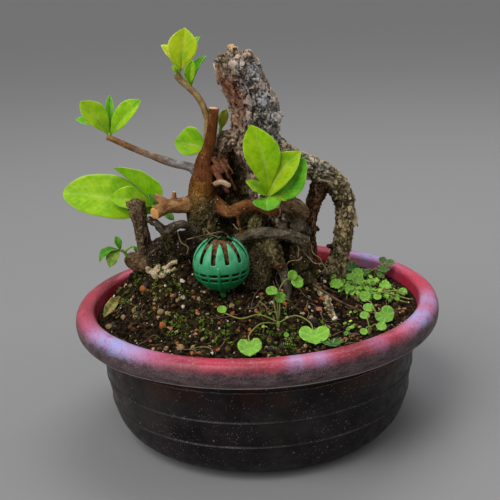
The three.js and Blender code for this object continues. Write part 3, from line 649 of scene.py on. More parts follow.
def specks_group(name):
    """A mask of small scattered specks."""
    made, sheet, given, out = node_group(
        name, "Shader", ("Mask", "Float"), Vector="Vector", Size="Float", Amount="Float",
    )
    cells = sheet.add("ShaderNodeTexVoronoi", {"Vector": given["Vector"], "Scale": given["Size"]}).outputs
    number = sheet.wire("ShaderNodeSeparateColor", {"Color": cells["Color"]})
    chosen = sheet.math("LESS_THAN", number, given["Amount"])
    sheet.feed(out, Wire(sheet, cells["Distance"]).step(0.12, 0.3, 1.0, 0.0) * chosen)
    return made


def fine_relief_group(name):
    """A height of fine grain with finer grain in it, in metres."""
    made, sheet, given, out = node_group(
        name, "Shader", ("Height", "Float"), Vector="Vector", Size="Float", Depth="Float",
    )
    sheet.feed(out, sheet.clouds(given["Vector"], given["Size"], 4.0, 0.65) * given["Depth"])
    return made


def shared_tree(name):
    """A node group by its name, built the first time it is asked for."""
    return bpy.data.node_groups.get(name) or GROUPS[name](name)


# The bowl


# Driving sizes, as in the frame's bowl
RIM_RADIUS = 114
BOWL_HEIGHT = 84
WALL_TOP_RADIUS = 101
WALL_FOOT_RADIUS = 95.2
WALL_FOOT_HEIGHT = 25
PAD_RADIUS = 18
FOOT_RADIUS = 67
FOOT_INNER_RADIUS = 59
FOOT_RECESS = 1.5
FOOT_CURVE_TOP = 24.2
RIM_UNDERSIDE = 67
RIM_CREST_RADIUS = 106.8
RIM_INNER_RADIUS = 102
RIM_INNER_HEIGHT = 79.5
RIM_ROUNDING = 9
WALL = 2.4
FLOOR_TOP = 4
RING_HEIGHTS = (25.5, 41.6, 61.2)
RING_PALENESS = (0.18, 0.18, 0.45)
RING_RISE = 0.6
RING_HALF_WIDTH = 0.8
DRAIN_RADIUS = 5
DRAIN_CIRCLE = 36
DRAINS = 4
FLARE = (WALL_TOP_RADIUS - WALL_FOOT_RADIUS) / (RIM_UNDERSIDE - WALL_FOOT_HEIGHT)

# Lavender and dark crimson stretches of the rim and dusty ones of the wall, as (direction from above in
# degrees, spread in degrees, strength)
ZONES = {
    "lavender": (
        (-138, 15, 1.0), (-80, 3, 0.7), (-73, 3.5, 0.55), (-54, 4, 0.35), (-30, 9, 0.85), (-14, 8, 0.6),
        (40, 12, 0.9),
    ),
    "crimson": (
        (-175, 20, 0.5), (150, 26, 1.0), (70, 16, 0.7), (-112, 6, 0.8), (-92, 9, 0.5), (-62, 9, 0.8),
        (-45, 7, 0.7),
    ),
    "dusty": ((-172, 22, 1.0), (-8, 22, 0.9), (-150, 10, 0.4)),
}


def wall_radius(height):
    return WALL_FOOT_RADIUS + FLARE * (height - WALL_FOOT_HEIGHT)


def arc_through(start, corner, end, steps=9):
    """Points of a quadratic curve after its start."""
    part = np.linspace(0, 1, steps + 1)[1:, None]
    start, corner, end = (np.array(point, dtype=float) for point in (start, corner, end))
    return list((1 - part)**2 * start + 2 * part * (1 - part) * corner + part**2 * end)


def straight_to(start, end, spacing=3.0):
    """Evenly spaced points after the start of a straight line."""
    start, end = np.array(start, dtype=float), np.array(end, dtype=float)
    steps = max(1, round(np.linalg.norm(end - start) / spacing))
    return [start + (end - start) * i / steps for i in range(1, steps + 1)]


def inner_wall(inset):
    """The bowl's inner wall, from under the rim down to the floor's middle."""
    top = (WALL_TOP_RADIUS - WALL - inset, RIM_UNDERSIDE)
    foot = (WALL_FOOT_RADIUS - WALL - inset, WALL_FOOT_HEIGHT)
    corner = (WALL_FOOT_RADIUS - 2 * WALL - inset, FLOOR_TOP + inset)
    floor = (FOOT_RADIUS, FLOOR_TOP + inset)
    return [top, *straight_to(top, foot, 8), *arc_through(foot, corner, floor), (0, FLOOR_TOP + inset)]


def bowl_profile():
    """Radius and height of the bowl's section, from the middle of its base out, up and back inside."""
    foot = (wall_radius(FOOT_CURVE_TOP), FOOT_CURVE_TOP)
    outline = [
        (0, 0), (PAD_RADIUS, 0), (PAD_RADIUS + FOOT_RECESS, FOOT_RECESS),
        *straight_to(
            (PAD_RADIUS + FOOT_RECESS, FOOT_RECESS), (FOOT_INNER_RADIUS - FOOT_RECESS, FOOT_RECESS), 8
        ),
        (FOOT_INNER_RADIUS, 0), (FOOT_RADIUS, 0),
        *arc_through((FOOT_RADIUS, 0), (wall_radius(0), 0), foot, 14),
    ]
    for height in RING_HEIGHTS:
        outline += straight_to(outline[-1], (wall_radius(height), height - RING_HALF_WIDTH))
        outline += [
            (wall_radius(height) + RING_RISE, height), (wall_radius(height), height + RING_HALF_WIDTH)
        ]
    underside = (RIM_RADIUS - RIM_ROUNDING / 2, RIM_UNDERSIDE + 1)
    outline += straight_to(outline[-1], (WALL_TOP_RADIUS, RIM_UNDERSIDE))
    outline += straight_to(outline[-1], underside)
    outline += arc_through(
        underside, (RIM_RADIUS, RIM_UNDERSIDE + 2), (RIM_RADIUS, RIM_UNDERSIDE + RIM_ROUNDING)
    )
    outline += arc_through(outline[-1], (RIM_RADIUS, BOWL_HEIGHT), (RIM_CREST_RADIUS, BOWL_HEIGHT))
    outline += arc_through(outline[-1], (RIM_INNER_RADIUS, BOWL_HEIGHT), (RIM_INNER_RADIUS, RIM_INNER_HEIGHT))
    return np.array([*outline, *inner_wall(0)])


def build_bowl(settings):
    points, faces = lathe(bowl_profile(), settings.steps)
    made = built("quince_bowl", points, faces)
    drains = [
        lathe(np.array([(0, -2), (DRAIN_RADIUS, -2), (DRAIN_RADIUS, 9), (0, 9)]), 24) for _ in range(DRAINS)
    ]
    for i, (drain_points, _) in enumerate(drains):
        turn = 2 * math.pi * i / DRAINS + math.pi / 4
        drain_points += DRAIN_CIRCLE * np.array((math.cos(turn), math.sin(turn), 0))
    cutter = outward(built("drain_cutters", *merged(drains)))
    drilled = outward(made).modifiers.new("Drains", "BOOLEAN")
    drilled.object, drilled.operation, drilled.solver = cutter, "DIFFERENCE", "EXACT"
    settled(made)
    bpy.data.objects.remove(cutter)
    mesh = made.data
    places = points_of(mesh)
    radius = np.hypot(places[:, 0], places[:, 1])
    heading = np.degrees(np.arctan2(places[:, 1], places[:, 0]))
    rim = smoothstep(places[:, 2], 60, 70) * smoothstep(radius, 90, 100)
    places += normals_of(mesh) * (settings.waver / MM * rim * rough(places, 26, 3, 2))[:, None]
    move_points(mesh, places)
    for title, zones in ZONES.items():
        turned = [(heading - at + 180) % 360 - 180 for at, _, _ in zones]
        mark(mesh, title, np.max([
            strength * np.exp(-(away / spread)**2) for away, (_, spread, strength) in zip(turned, zones)
        ], axis=0))
    mesh.set_sharp_from_angle(angle=math.radians(24))
    finished(made, ["bowl"], bowl_material(settings))


def bowl_material(settings):
    """Near-black moulded plastic whose rim is faded and streaked crimson, pink and lavender."""
    sheet = MaterialSheet("Bowl plastic", 0.15)
    height = sheet.height()
    flat = sheet.vector_math("MULTIPLY", sheet.place, (1, 1, 0))
    out = sheet.vector_math("LENGTH", flat, output="Value")
    # Streaks run along the rim, and brush marks run up it, so both are read by direction
    heading = sheet.vector_math("NORMALIZE", flat)
    streak = sheet.vector_math("ADD", heading, sheet.upward(height * 26.0 + out * 34.0))
    broad = sheet.clouds(streak, 3.2, 5.0, 0.6)
    fine = sheet.clouds(streak, 12.0, 7.0, 0.7)
    brush = sheet.clouds(sheet.vector_math("ADD", heading, sheet.upward(height * 9.0)), 70.0, 4.0, 0.6)
    paint = sheet.mix(broad.step(0.46, 0.68), settings.crimson, settings.pink)
    bluish = sheet.attribute("lavender") * fine.step(0.3, 0.5) * height.step(0.073, 0.079)
    paint = paint.mix(bluish, settings.lavender)
    paint = paint.mix(sheet.attribute("crimson") * broad.step(0.7, 0.45), (0.16, 0.012, 0.016))
    paint = paint.mix(fine.step(0.55, 0.72) * 0.6, (0.2, 0.012, 0.03))
    # Pale broken streaks along the crest are a painted highlight
    sheen = height.step(0.0772, 0.0815) * sheet.noise(1.4, 4, 0.7).step(0.5, 0.62)
    paint = paint.mix(sheen * 0.13, (0.7, 0.42, 0.48))
    paint = paint.mix(sheet.specks(420.0, 0.14) * 0.3, (0.7, 0.5, 0.52))

    wall = sheet.weathered(settings.wall, (0.014, 0.011, 0.013), 45.0, 0.45, 0.35)
    warm = height.step(0.045, 0.064) * sheet.noise(26, 4).step(0.36, 0.6)
    wall = wall.mix(warm, settings.wall_warm)
    splashes = sheet.specks(800.0, 0.5) * sheet.noise(9, 5).step(0.4, 0.62, 0.15, 1.0)
    splashes = splashes * 0.85 + sheet.specks(360.0, 0.05) * 0.5
    stretched = sheet.vector_math("MULTIPLY", sheet.place, (1, 1, 0.16))
    scratches = sheet.noise(1.3, 6, 0.75, stretched).step(0.67, 0.74)
    dust = splashes | scratches * 0.3
    wavy = height + (fine - 0.5) * 0.0025
    for line, paleness in zip(RING_HEIGHTS, RING_PALENESS):
        off = abs(wavy - line * MM)
        mould_line = off.step(0.0004, 0.0001) * brush.step(0.3, 0.6)
        dust = dust | mould_line * paleness
    haze = sheet.noise(40, 5).step(0.46, 0.72) * 0.06
    side = sheet.attribute("dusty") * brush.step(0.3, 0.7, 0.3, 1.0)
    foot = height.step(0.01, 0.0) * brush.step(0.4, 0.6)
    dust = dust | (haze | side * 0.28)
    wall = wall.mix(dust | foot * 0.3, settings.dust)

    ragged = sheet.noise(0.6, 3, 0.7) * 0.55 + fine * 0.45
    lifted_edge = height + (ragged - 0.5) * 0.013
    on_rim = out.step(0.0975, 0.1005)
    painted = lifted_edge.step(0.0764, 0.0836) * on_rim
    inside = out.step(0.1035, 0.1015) * lifted_edge.step(0.067, 0.073)
    stain = sheet.mix(ragged.step(0.4, 0.66), (0.034, 0.023, 0.026), (0.17, 0.118, 0.125))
    # A thin pale line along the rim's lower edge: painted highlight
    lip_highlight = height.step(0.0704, 0.0692) * brush.step(0.3, 0.55, 0.3, 0.8)
    stain = stain.mix(lip_highlight, (0.5, 0.43, 0.4))
    shade = wall.mix(height.step(0.0655, 0.0675) * on_rim, stain)
    shade = shade.mix(painted, paint)
    shade = shade.mix(inside, paint.mix(0.5, (0.32, 0.012, 0.025)))
    rubbed = sheet.noise(7, 4).step(0.3, 0.75, 0.34, 0.6)
    grain = sheet.relief(700.0, 0.0001)
    return sheet.done(shade, rubbed, grain, 0.6, coat_weight=painted * 0.4, coat_roughness=0.34)


# The soil mound


SOIL_EDGE = 76
MOUND_RISE = 30
MOUND_CENTRE = (-15, 12)
MOUND_FLAT = {"left": 50, "right": 20, "front": 5, "back": 25}
MOUND_END = {"left": 86, "right": 85, "front": 95, "back": 72}
SHOULDER = {"at": (-48, 7), "rise": 11, "reach": (21, 17)}
GAP = 0.35

# Mossy patches as (x, y, reach, strength)
MOSSY = (
    (16, -62, 9, 1.0), (18, -74, 8, 0.9), (6, -60, 8, 0.7), (30, -62, 8, 0.5), (-40, -44, 16, 0.5),
    (-22, -60, 12, 0.5), (10, -42, 10, 0.5), (40, -46, 9, 0.3), (-62, -20, 12, 0.55), (-78, -8, 10, 0.5),
    (-60, 34, 22, 0.7), (10, 60, 24, 0.5), (62, 30, 16, 0.6), (84, 10, 10, 0.5), (-8, -78, 9, 0.3),
)


def mound_height(x, y):
    """Height of the soil before its crumbs, with a higher shoulder on the left."""
    x, y = np.asarray(x, dtype=float), np.asarray(y, dtype=float)
    dx, dy = x - MOUND_CENTRE[0], y - MOUND_CENTRE[1]
    away = np.hypot(dx, dy) + 1e-9
    side_share = (dx / away)**2

    def pick(sizes):
        sideways = np.where(dx < 0, sizes["left"], sizes["right"])
        depthways = np.where(dy < 0, sizes["front"], sizes["back"])
        return sideways * side_share + depthways * (1 - side_share)

    sx = (x - SHOULDER["at"][0]) / SHOULDER["reach"][0]
    sy = (y - SHOULDER["at"][1]) / SHOULDER["reach"][1]
    shoulder = SHOULDER["rise"] * np.exp(-sx * sx - sy * sy)
    start, end = pick(MOUND_FLAT), pick(MOUND_END)
    return SOIL_EDGE + (MOUND_RISE + shoulder) * (1 - smoothstep(away, start, end))


def soil_height(x, y):
    """Height of the soil with its lumps, which fade out at the wall."""
    x, y = np.asarray(x, dtype=float), np.asarray(y, dtype=float)
    fade = 1 - smoothstep(np.hypot(x, y), 85, 100)
    lumps = np.sin(0.31 * x + 1.3 * np.sin(0.17 * y)) * np.sin(0.27 * y + 1.1 * np.sin(0.21 * x))
    return mound_height(x, y) + fade * (
        1.1 * lumps + 0.5 * np.sin(0.83 * x + 0.6 * y) * np.sin(0.71 * y - 0.4 * x)
    )


def mossiness(places):
    """How mossy the soil is at each place, 0 to 1."""
    patches = np.zeros(len(places))
    for x, y, reach, strength in MOSSY:
        away = np.hypot(places[:, 0] - x, places[:, 1] - y)
        patches = np.maximum(patches, strength * np.exp(-(away / reach)**2))
    return patches * smoothstep(rough(places, 6, 41), -0.45, 0.35)


def build_soil(settings):
    rings, steps = 150, 440
    edge = WALL_TOP_RADIUS - WALL + (SOIL_EDGE - RIM_UNDERSIDE) / (RIM_INNER_HEIGHT - RIM_UNDERSIDE) * (
        RIM_INNER_RADIUS - WALL_TOP_RADIUS + WALL
    ) - GAP
    top = [(edge * i / rings, SOIL_EDGE) for i in range(rings + 1)]
    points, faces = lathe(np.array([*top, *inner_wall(GAP)]), steps)
    upper = points[:, 2] > SOIL_EDGE - 0.01
    ground = points[upper]
    fade = (1 - smoothstep(np.hypot(ground[:, 0], ground[:, 1]), 92, 100)) * settings.clod / MM
    ground[:, 2] = soil_height(ground[:, 0], ground[:, 1])
    crack, number, _ = plates(ground + rough(ground, 5, 21)[:, None], 4.2, 22)
    small_crack, small_number, _ = plates(ground, 1.9, 26)
    rise = 0.45 * rough(ground, 7, 23) + 0.42 * smoothstep(crack, 0, 0.5) * (0.3 + number)
    rise += 0.26 * smoothstep(small_crack, 0, 0.5) * (small_number - 0.2) - 0.3
    ground[:, 2] += rise * fade
    shift = np.stack([rough(ground, 3, seed) for seed in (31, 32)], axis=1)
    ground[:, :2] += 0.5 * shift * fade[:, None]
    points[upper] = ground
    made = outward(built("quince_soil", points, faces))
    places = points_of(made.data)
    open_top = (places[:, 2] > SOIL_EDGE - 3) * (np.hypot(places[:, 0], places[:, 1]) < 98)
    mark(made.data, "moss", mossiness(places) * open_top)
    mark(made.data, "grit", open_top.astype(float))
    finished(made, ["soil"], soil_material(settings))


def soil_material(settings):
    """Damp dark mix with dry crumbs, and a film of moss where it is marked."""
    sheet = MaterialSheet("Soil")
    crumbs = sheet.weathered(settings.dark, settings.light, 420.0, 0.42, 0.6)
    shade = crumbs.mix(sheet.noise(18, 3).step(0.4, 0.65) * 0.15, (0.028, 0.013, 0.007))
    shade = shade.mix(sheet.specks(700.0, 0.07) * 0.7, (0.4, 0.34, 0.25))
    shade = shade.mix(sheet.attribute("moss") * sheet.noise(1.6, 4).step(0.3, 0.55), settings.moss)
    return sheet.done(shade, sheet.noise(3, 3).step(0.35, 0.6, 0.6, 0.95), sheet.relief(900.0, 0.0011))


# The tree's wood


# Each kind of bark: dark and light colour, plate size and depth in millimetres, how much longer than wide
# its plates are, depth of its furrows and of its fine grain, and how mossy it is. A limb with two kinds
# goes from the first to the second.
BARKS = {
    "plated": ((0.12, 0.065, 0.038), (0.86, 0.66, 0.48), 5.2, 1.2, 1.7, 1.2, 0.34, 0.1),
    "root": ((0.08, 0.055, 0.024), (0.85, 0.7, 0.4), 4.4, 0.8, 0.9, 0.9, 0.36, 0.35),
    "rusty": ((0.03, 0.012, 0.006), (0.26, 0.12, 0.055), 3.4, 0.7, 2.2, 1.0, 0.34, 0.1),
    "mossy": ((0.016, 0.01, 0.005), (0.22, 0.17, 0.075), 3.8, 0.65, 1.4, 0.8, 0.38, 0.6),
    "grey": ((0.035, 0.026, 0.018), (0.2, 0.165, 0.115), 2.6, 0.25, 2.8, 0.45, 0.2, 0.15),
    # The dark kind is painted shade: near-black bark for limbs that lie in the shadow of others
    "dark": ((0.006, 0.004, 0.0025), (0.075, 0.05, 0.03), 1.8, 0.6, 1.2, 0.7, 0.4, 0.25),
    "brown": ((0.07, 0.022, 0.006), (0.3, 0.13, 0.045), 2.4, 0.2, 3.0, 0.3, 0.15, 0.05),
    "leader": ((0.07, 0.02, 0.005), (0.24, 0.088, 0.024), 2.4, 0.1, 3.4, 0.16, 0.08, 0.0),
    "stub": ((0.03, 0.017, 0.01), (0.34, 0.23, 0.13), 2.8, 0.4, 3.0, 0.7, 0.24, 0.1),
    "young": ((0.16, 0.06, 0.02), (0.52, 0.29, 0.13), 2.2, 0.08, 3.6, 0.12, 0.07, 0.0),
    "ashen": ((0.14, 0.12, 0.11), (0.42, 0.4, 0.4), 2.2, 0.08, 3.6, 0.12, 0.07, 0.0),
    "twig": ((0.17, 0.1, 0.035), (0.45, 0.32, 0.15), 2.2, 0.05, 3.6, 0.1, 0.06, 0.0),
    "callus": ((0.09, 0.045, 0.018), (0.4, 0.27, 0.15), 3.0, 0.3, 1.2, 0.6, 0.22, 0.05),
    "pale": ((0.3, 0.18, 0.09), (0.7, 0.56, 0.38), 2.0, 0.1, 3.0, 0.2, 0.1, 0.0),
    "splinter": ((0.06, 0.02, 0.008), (0.32, 0.15, 0.08), 1.8, 0.3, 4.0, 0.3, 0.14, 0.0),
}

# Colours of bare wood at the cut ends
WOODS = {
    "": (0.3, 0.2, 0.1), "cream": (0.86, 0.58, 0.33), "orange": (0.85, 0.42, 0.14),
    "rotten": (0.3, 0.1, 0.035),
}

# Limbs through (x, y, z, radius) points, each with its bark and the wood of its far end if that is cut
LIMBS = (
    # Old trunk, from the root ball to the cut-back crown
    ("plated", "", (
        (17, 8, 94, 18), (15, 12, 118, 15.3), (14, 12, 138, 13.9), (11, 12, 157, 15), (7, 11.5, 170, 14.2),
        (4.5, 11, 180, 13.4), (3.2, 10, 190, 14.2), (4.2, 9, 199, 15.3), (2, 8, 206, 13.6),
        (-1.4, 6, 216, 13), (-4.8, 4.5, 225, 13.4), (-6, 3.5, 233, 10),
    )),
    # Sawn nubs on the crown
    ("plated", "cream", ((-9, 2, 228, 4.6), (-8, 1.5, 234, 4), (-7, 1, 238.5, 2.9))),
    ("plated", "", ((-12, 0, 228, 4.4), (-15.5, -1, 233, 3.2))),
    # Old wood behind the hollow, and the swollen shoulder beside the trunk
    ("mossy", "", (
        (-3, 16, 184, 9.5), (-6, 20, 166, 12.5), (-9, 22, 143, 16.5), (-10, 20, 116, 22), (-9, 16, 94, 25),
    )),
    ("plated", "", ((-20, 6, 172, 5.5), (-15, 6, 181, 6), (-8, 6, 182, 5.6), (-4, 7, 176, 5))),
    ("rusty", "", ((-18, 5, 176, 5), (-16, 8, 162, 6), (-13, 9, 150, 7))),
    # Left trunk and its cut leader
    ("mossy", "", ((-20, 4, 96, 17), (-26, 2, 120, 12.6), (-30, 0.5, 134, 10.9))),
    (
        "mossy leader", "",
        ((-30, 0.5, 134, 10.9), (-31, 0, 141, 9.8), (-30.5, 0, 149, 8.7), (-30, 0, 157, 7.6)),
    ),
    ("leader", "cream", (
        (-30, 0, 157, 7.6), (-29, 0, 163, 6.2), (-28, -1, 171, 4.8), (-25, -2, 178, 3.7), (-22, -2, 189, 3.2),
        (-20, -3, 203, 3.1),
    )),
    # Root that arches out of the trunk, with its inner leg and two thorn-like nubs
    ("root", "", (
        (10, 10, 182, 7.5), (16.5, 11, 173, 8), (24, 12, 166.4, 8.1), (32, 13, 162.2, 7.8),
        (41, 14, 158.8, 7.6), (49.2, 15, 153.4, 7.4), (56.4, 17, 144.2, 7), (59.6, 19, 131.8, 6.2),
        (59, 20, 118, 6), (56.6, 22, 104, 6.1), (53, 23, 90, 6.7), (49, 24, 74, 8),
    )),
    ("rusty", "", (
        (50, 14, 153, 5.6), (44, 14, 148, 5.9), (41, 14, 141, 5.2), (38, 13, 134, 4.7), (36, 12, 126, 4.5),
        (34.5, 11, 117, 5), (33, 10, 96, 8),
    )),
    # Both nubs and the limb after them have near-black bark as painted shade
    ("dark", "", ((36, 12, 119, 2.1), (42, 12, 121, 1.6))),
    ("dark", "", ((54, 21, 105, 2.1), (47, 20, 107, 1.2))),
    ("dark", "", ((-25, 8, 172, 4), (-23, 8, 160, 5), (-20, 8, 148, 5))),
    # Callus, grey sawn stub and buttress on the trunk's right
    ("callus", "", ((18, 4, 141, 6), (27, 2, 137.5, 6), (32, 4, 131, 5.2))),
    ("grey", "", ((31, 8, 121, 5.6), (29, 1, 125, 5), (27, -7, 128.5, 4.4))),
    ("mossy", "", ((20, 0, 116, 6), (28, -4, 118, 5.5), (31, -3, 110, 6))),
    ("mossy", "", ((22, 4, 120, 9), (26, -2, 106, 10), (30, -8, 90, 8))),
    # Grey branch across the front, and the brown branch above it
    ("grey", "", (
        (-10, -7, 121, 4), (-1, -13, 126, 3.6), (10, -15, 127, 3.5), (22, -15, 125, 3.5), (33, -13, 120, 3.3),
    )),
    ("brown", "cream", (
        (-25, 1, 146, 4.6), (-14, -6, 139, 4), (-4, -9, 143, 3.9), (4, -10, 142.5, 3.3),
        (11, -11, 139.5, 2.7), (17, -11.5, 139, 2.3),
    )),
    ("mossy", "", ((6, -4, 138, 5), (2, -8, 130, 5), (5, -10, 122, 6))),
    # Mossy front root, the stub root, and two thin roots that run into the soil
    # The front root's bark is darkened as painted shade
    ("dark mossy", "", ((9, -4, 124, 8), (5, -10, 110, 8.8), (0, -17, 98, 9), (-5, -24, 82, 7.5))),
    (
        "mossy", "rotten",
        ((10, -10, 126, 5.8), (12, -16, 116, 5.3), (13.5, -19, 110, 4.6), (14.5, -21, 107, 3.7)),
    ),
    ("grey", "", ((15, -16, 110, 2.9), (18, -20, 101, 3.1), (19, -25, 92, 2.8), (18, -32, 82, 1.9))),
    ("root", "", (
        (29, -4, 112, 6.5), (33, -7, 97, 3.4), (38, -11, 88, 3), (43, -15, 84.5, 2.7), (44, -27, 80.5, 2.4),
        (46, -36, 74, 1.8),
    )),
    # Twisted side root on the left, and what it stands on
    ("grey", "", (
        (-30, -2, 122, 4.2), (-38, -8, 131, 3.1), (-44, -11, 134, 2.7), (-54, -12, 131, 3),
        (-59, -13, 136, 2.4), (-64, -13, 139.5, 1.9),
    )),
    ("mossy", "", ((-54, -12, 131, 2.8), (-52, -9, 122, 3.4), (-50, -4, 98, 5))),
    # The limb under it has near-black bark as painted shade
    ("dark", "", (
        (-29, 2, 116, 12), (-40, -1, 117, 10), (-50, -3, 117.5, 8.6), (-58, -3, 115.5, 7.6),
        (-64, -1, 107, 7.5),
    )),
    # Dark split stub on the left shoulder, the callus at its foot and the root that carries both
    ("stub", "", (
        (-62, 6, 92, 8), (-65, 4, 107, 6.3), (-68, 1, 117, 4.9), (-69, -2, 129, 4.2), (-71, -4, 140, 4.2),
        (-73, -4, 149, 4.4),
    )),
    ("stub", "", ((-69, -3, 131, 3), (-68, -6, 142, 3.2), (-68.5, -6, 149, 2.9))),
    ("callus", "", ((-62, 2, 106, 6.5), (-70, -2, 108, 6.4), (-76, -4, 110.5, 5.6), (-79.5, -5, 113, 3.2))),
    ("mossy", "", ((-22, 4, 106, 14), (-38, 6, 106, 12), (-52, 6, 106, 10), (-66, 4, 102, 8))),
    # Sawn side branch that faces forward, with two small twigs
    ("young", "orange", ((-33, 0, 144, 5.8), (-43, -4, 144, 4.9), (-51, -9, 145, 4.3), (-59, -17, 143, 3.8))),
    ("young", "", ((-49, -7, 145, 2.9), (-55, -8, 149, 2.5), (-59, -8, 152, 2.2))),
    ("young", "cream", ((-48, -5, 145, 1.9), (-47, -5, 153.5, 1.3))),
    # Long young twigs that carry the left and the top shoot
    ("ashen young", "", (
        (-31, 1, 162, 3.6), (-37, 0, 167, 2.7), (-45, -1, 169.5, 2.5), (-51, -2, 172, 2.6), (-60, -3, 176, 2),
        (-72, -4, 182, 2), (-82, -5, 187.5, 1.9), (-85, -5, 189, 2),
    )),
    ("twig", "", (
        (-25, 3, 180, 3), (-25, 8, 196, 2.2), (-29, 10, 207, 2.1), (-35, 12, 214, 2.1), (-40, 13, 219, 2.2),
        (-42, 13, 222.5, 2.4),
    )),
    # Splinters, a pale twig and a dry stick in the hollow
    ("splinter", "", ((-22, -1, 168, 2.6), (-18, -3, 158, 2), (-14, -1, 150, 1.6))),
    ("splinter", "", ((-16, 4, 166, 2.4), (-12, 2, 158, 2), (-9, 2, 150, 1.4))),
    ("splinter", "", ((-22, -3, 173, 1.8), (-20, -4, 168, 1.6), (-17, -4, 163, 1.1))),
    ("splinter", "", ((-19.5, -1, 172, 1.7), (-16, -2, 166, 1.5), (-13, -3, 159, 1.0))),
    ("splinter", "", ((-16, 1, 170, 1.6), (-13, 0, 166, 1.3), (-10, -1, 161, 1.0))),
    ("pale", "cream", ((-22, -4, 156.5, 1.9), (-17, -8, 158.5, 1.6), (-12.5, -9.5, 156, 1.5))),
    ("brown", "", ((-9.5, -9, 143, 1), (-9, -11, 136, 0.9), (-7, -12, 126, 1.2))),
    # Roots at the back and inside the soil
    ("mossy", "", ((8, 22, 116, 11), (10, 38, 105, 8.5), (13, 54, 96, 6.5), (14, 70, 82, 5))),
    ("mossy", "", ((-16, 28, 110, 11), (-28, 42, 102, 8), (-38, 56, 91, 5.5), (-42, 66, 78, 4))),
    ("root", "", ((8, 6, 100, 12), (12, -10, 70, 7), (24, -32, 44, 3))),
    ("root", "", ((-18, 8, 98, 12), (-34, 14, 68, 7), (-52, 12, 40, 3))),
    ("root", "", ((2, 16, 98, 12), (14, 34, 66, 6), (32, 46, 42, 3))),
)

# Coloured places on the wood: grey-blue lichen, bare red-brown wood, ochre and peeled cream spots, and
# painted shade that keeps deep places nearly black, as (x, y, z, reach, strength)
SPOTS = {
    "lichen": (
        (6, -4, 224, 7, 1.0), (3, -8, 216, 6, 0.9), (10, -4, 206, 9, 1.0), (13, -5, 196, 12, 1.0),
        (7, -6, 188, 8, 0.8), (20, 2, 184, 7, 0.8), (-4, -6, 226, 6, 0.5), (35, 6, 170, 8, 0.55),
        (46, 8, 162, 7, 0.35), (12, 20, 196, 16, 0.45),
    ),
    "red": (
        (-12, -4, 214, 10, 1.0), (-8, -6, 206, 11, 1.0), (-9, -3, 196, 8, 0.8), (-22, -1, 165, 7, 0.9),
        (4, -8, 212, 5, 0.5), (-13, 0, 160, 8, 0.5),
    ),
    "ochre": (
        (-6, -5, 196, 4, 0.9), (-3, -6, 184, 5, 0.8), (3, -6, 187, 5, 0.6), (24, -3, 160, 8, 0.5),
        (-14, -10, 120, 3, 0.4), (58, 12, 116, 9, 0.7), (61, 14, 100, 8, 0.6), (-34, -9, 151, 8, 0.6),
    ),
    "peeled": ((-8, -1, 239, 3.6, 1.2), (-24, -7, 146, 2.0, 0.9), (-33, -9, 160, 1.3, 1.0)),
    "hollow": (
        (-11, 4, 160, 8, 1.0), (-8, 2, 150, 8, 0.9), (-2, -1, 164, 6, 0.7), (-16, 0, 131, 9, 0.95),
        (-4, -3, 131, 7, 0.8), (19, -8, 117, 6, 0.9), (25, -8, 103, 9, 1.0), (31, -10, 112, 6, 0.9),
        (22, -12, 93, 7, 0.9), (-12, -10, 112, 7, 0.8), (-6, -22, 98, 6, 0.6), (36, -4, 98, 8, 0.8),
        (-40, -10, 118, 9, 0.7), (-52, -8, 118, 8, 0.6), (31, 6, 150, 4, 0.6), (42, 12, 146, 4, 0.5),
    ),
}

# Knots that bulge and hollows that sink, as (x, y, z, reach, rise)
KNOTS = (
    (15, -1, 199, 6, -1.6), (18, 0, 207, 5, 1.8), (20, 4, 192, 5, 1.6), (8, -7, 197, 6, -1.2),
    (-2, -8, 224, 5, -1.5), (4, -4, 231, 4, 1.2), (-12, 0, 222, 4, 1.4), (-12, 2, 206, 4, -1.0),
    (12, -4, 178, 6, 1.3), (50, 8, 150, 5, 1.2), (60, 14, 140, 4, 1.0), (63, 16, 126, 4, 0.8),
    (-11, 8, 158, 7, -4.0), (-2, 4, 162, 6, -2.5), (-14, 6, 130, 7, -3.5), (18, -6, 118, 5, -2.5),
)


def near_spots(places, spots):
    """The strongest of the spots at each place, fading out with distance."""
    total = np.zeros(len(places))
    for x, y, z, reach, strength in spots:
        away = np.linalg.norm(places - np.array((x, y, z)), axis=1)
        value = strength * np.exp(-(away / reach)**2)
        total = np.where(np.abs(value) > np.abs(total), value, total)
    return total


def limb_path(points):
    """Rows of x, y, z, radius about every 1.2 mm along a limb."""
    total = sum(math.dist(a[:3], b[:3]) for a, b in zip(points, points[1:]))
    return smooth_path(points, max(4, round(total / (len(points) - 1) / 1.2)))


def limb_solid(path):
    """A limb whose section is never quite round."""
    def flute(step, turn):
        return 1 + 0.05 * np.sin(3 * turn + 0.05 * step) + 0.035 * np.sin(5 * turn - 0.09 * step)
    return tube(path, 20, flute)


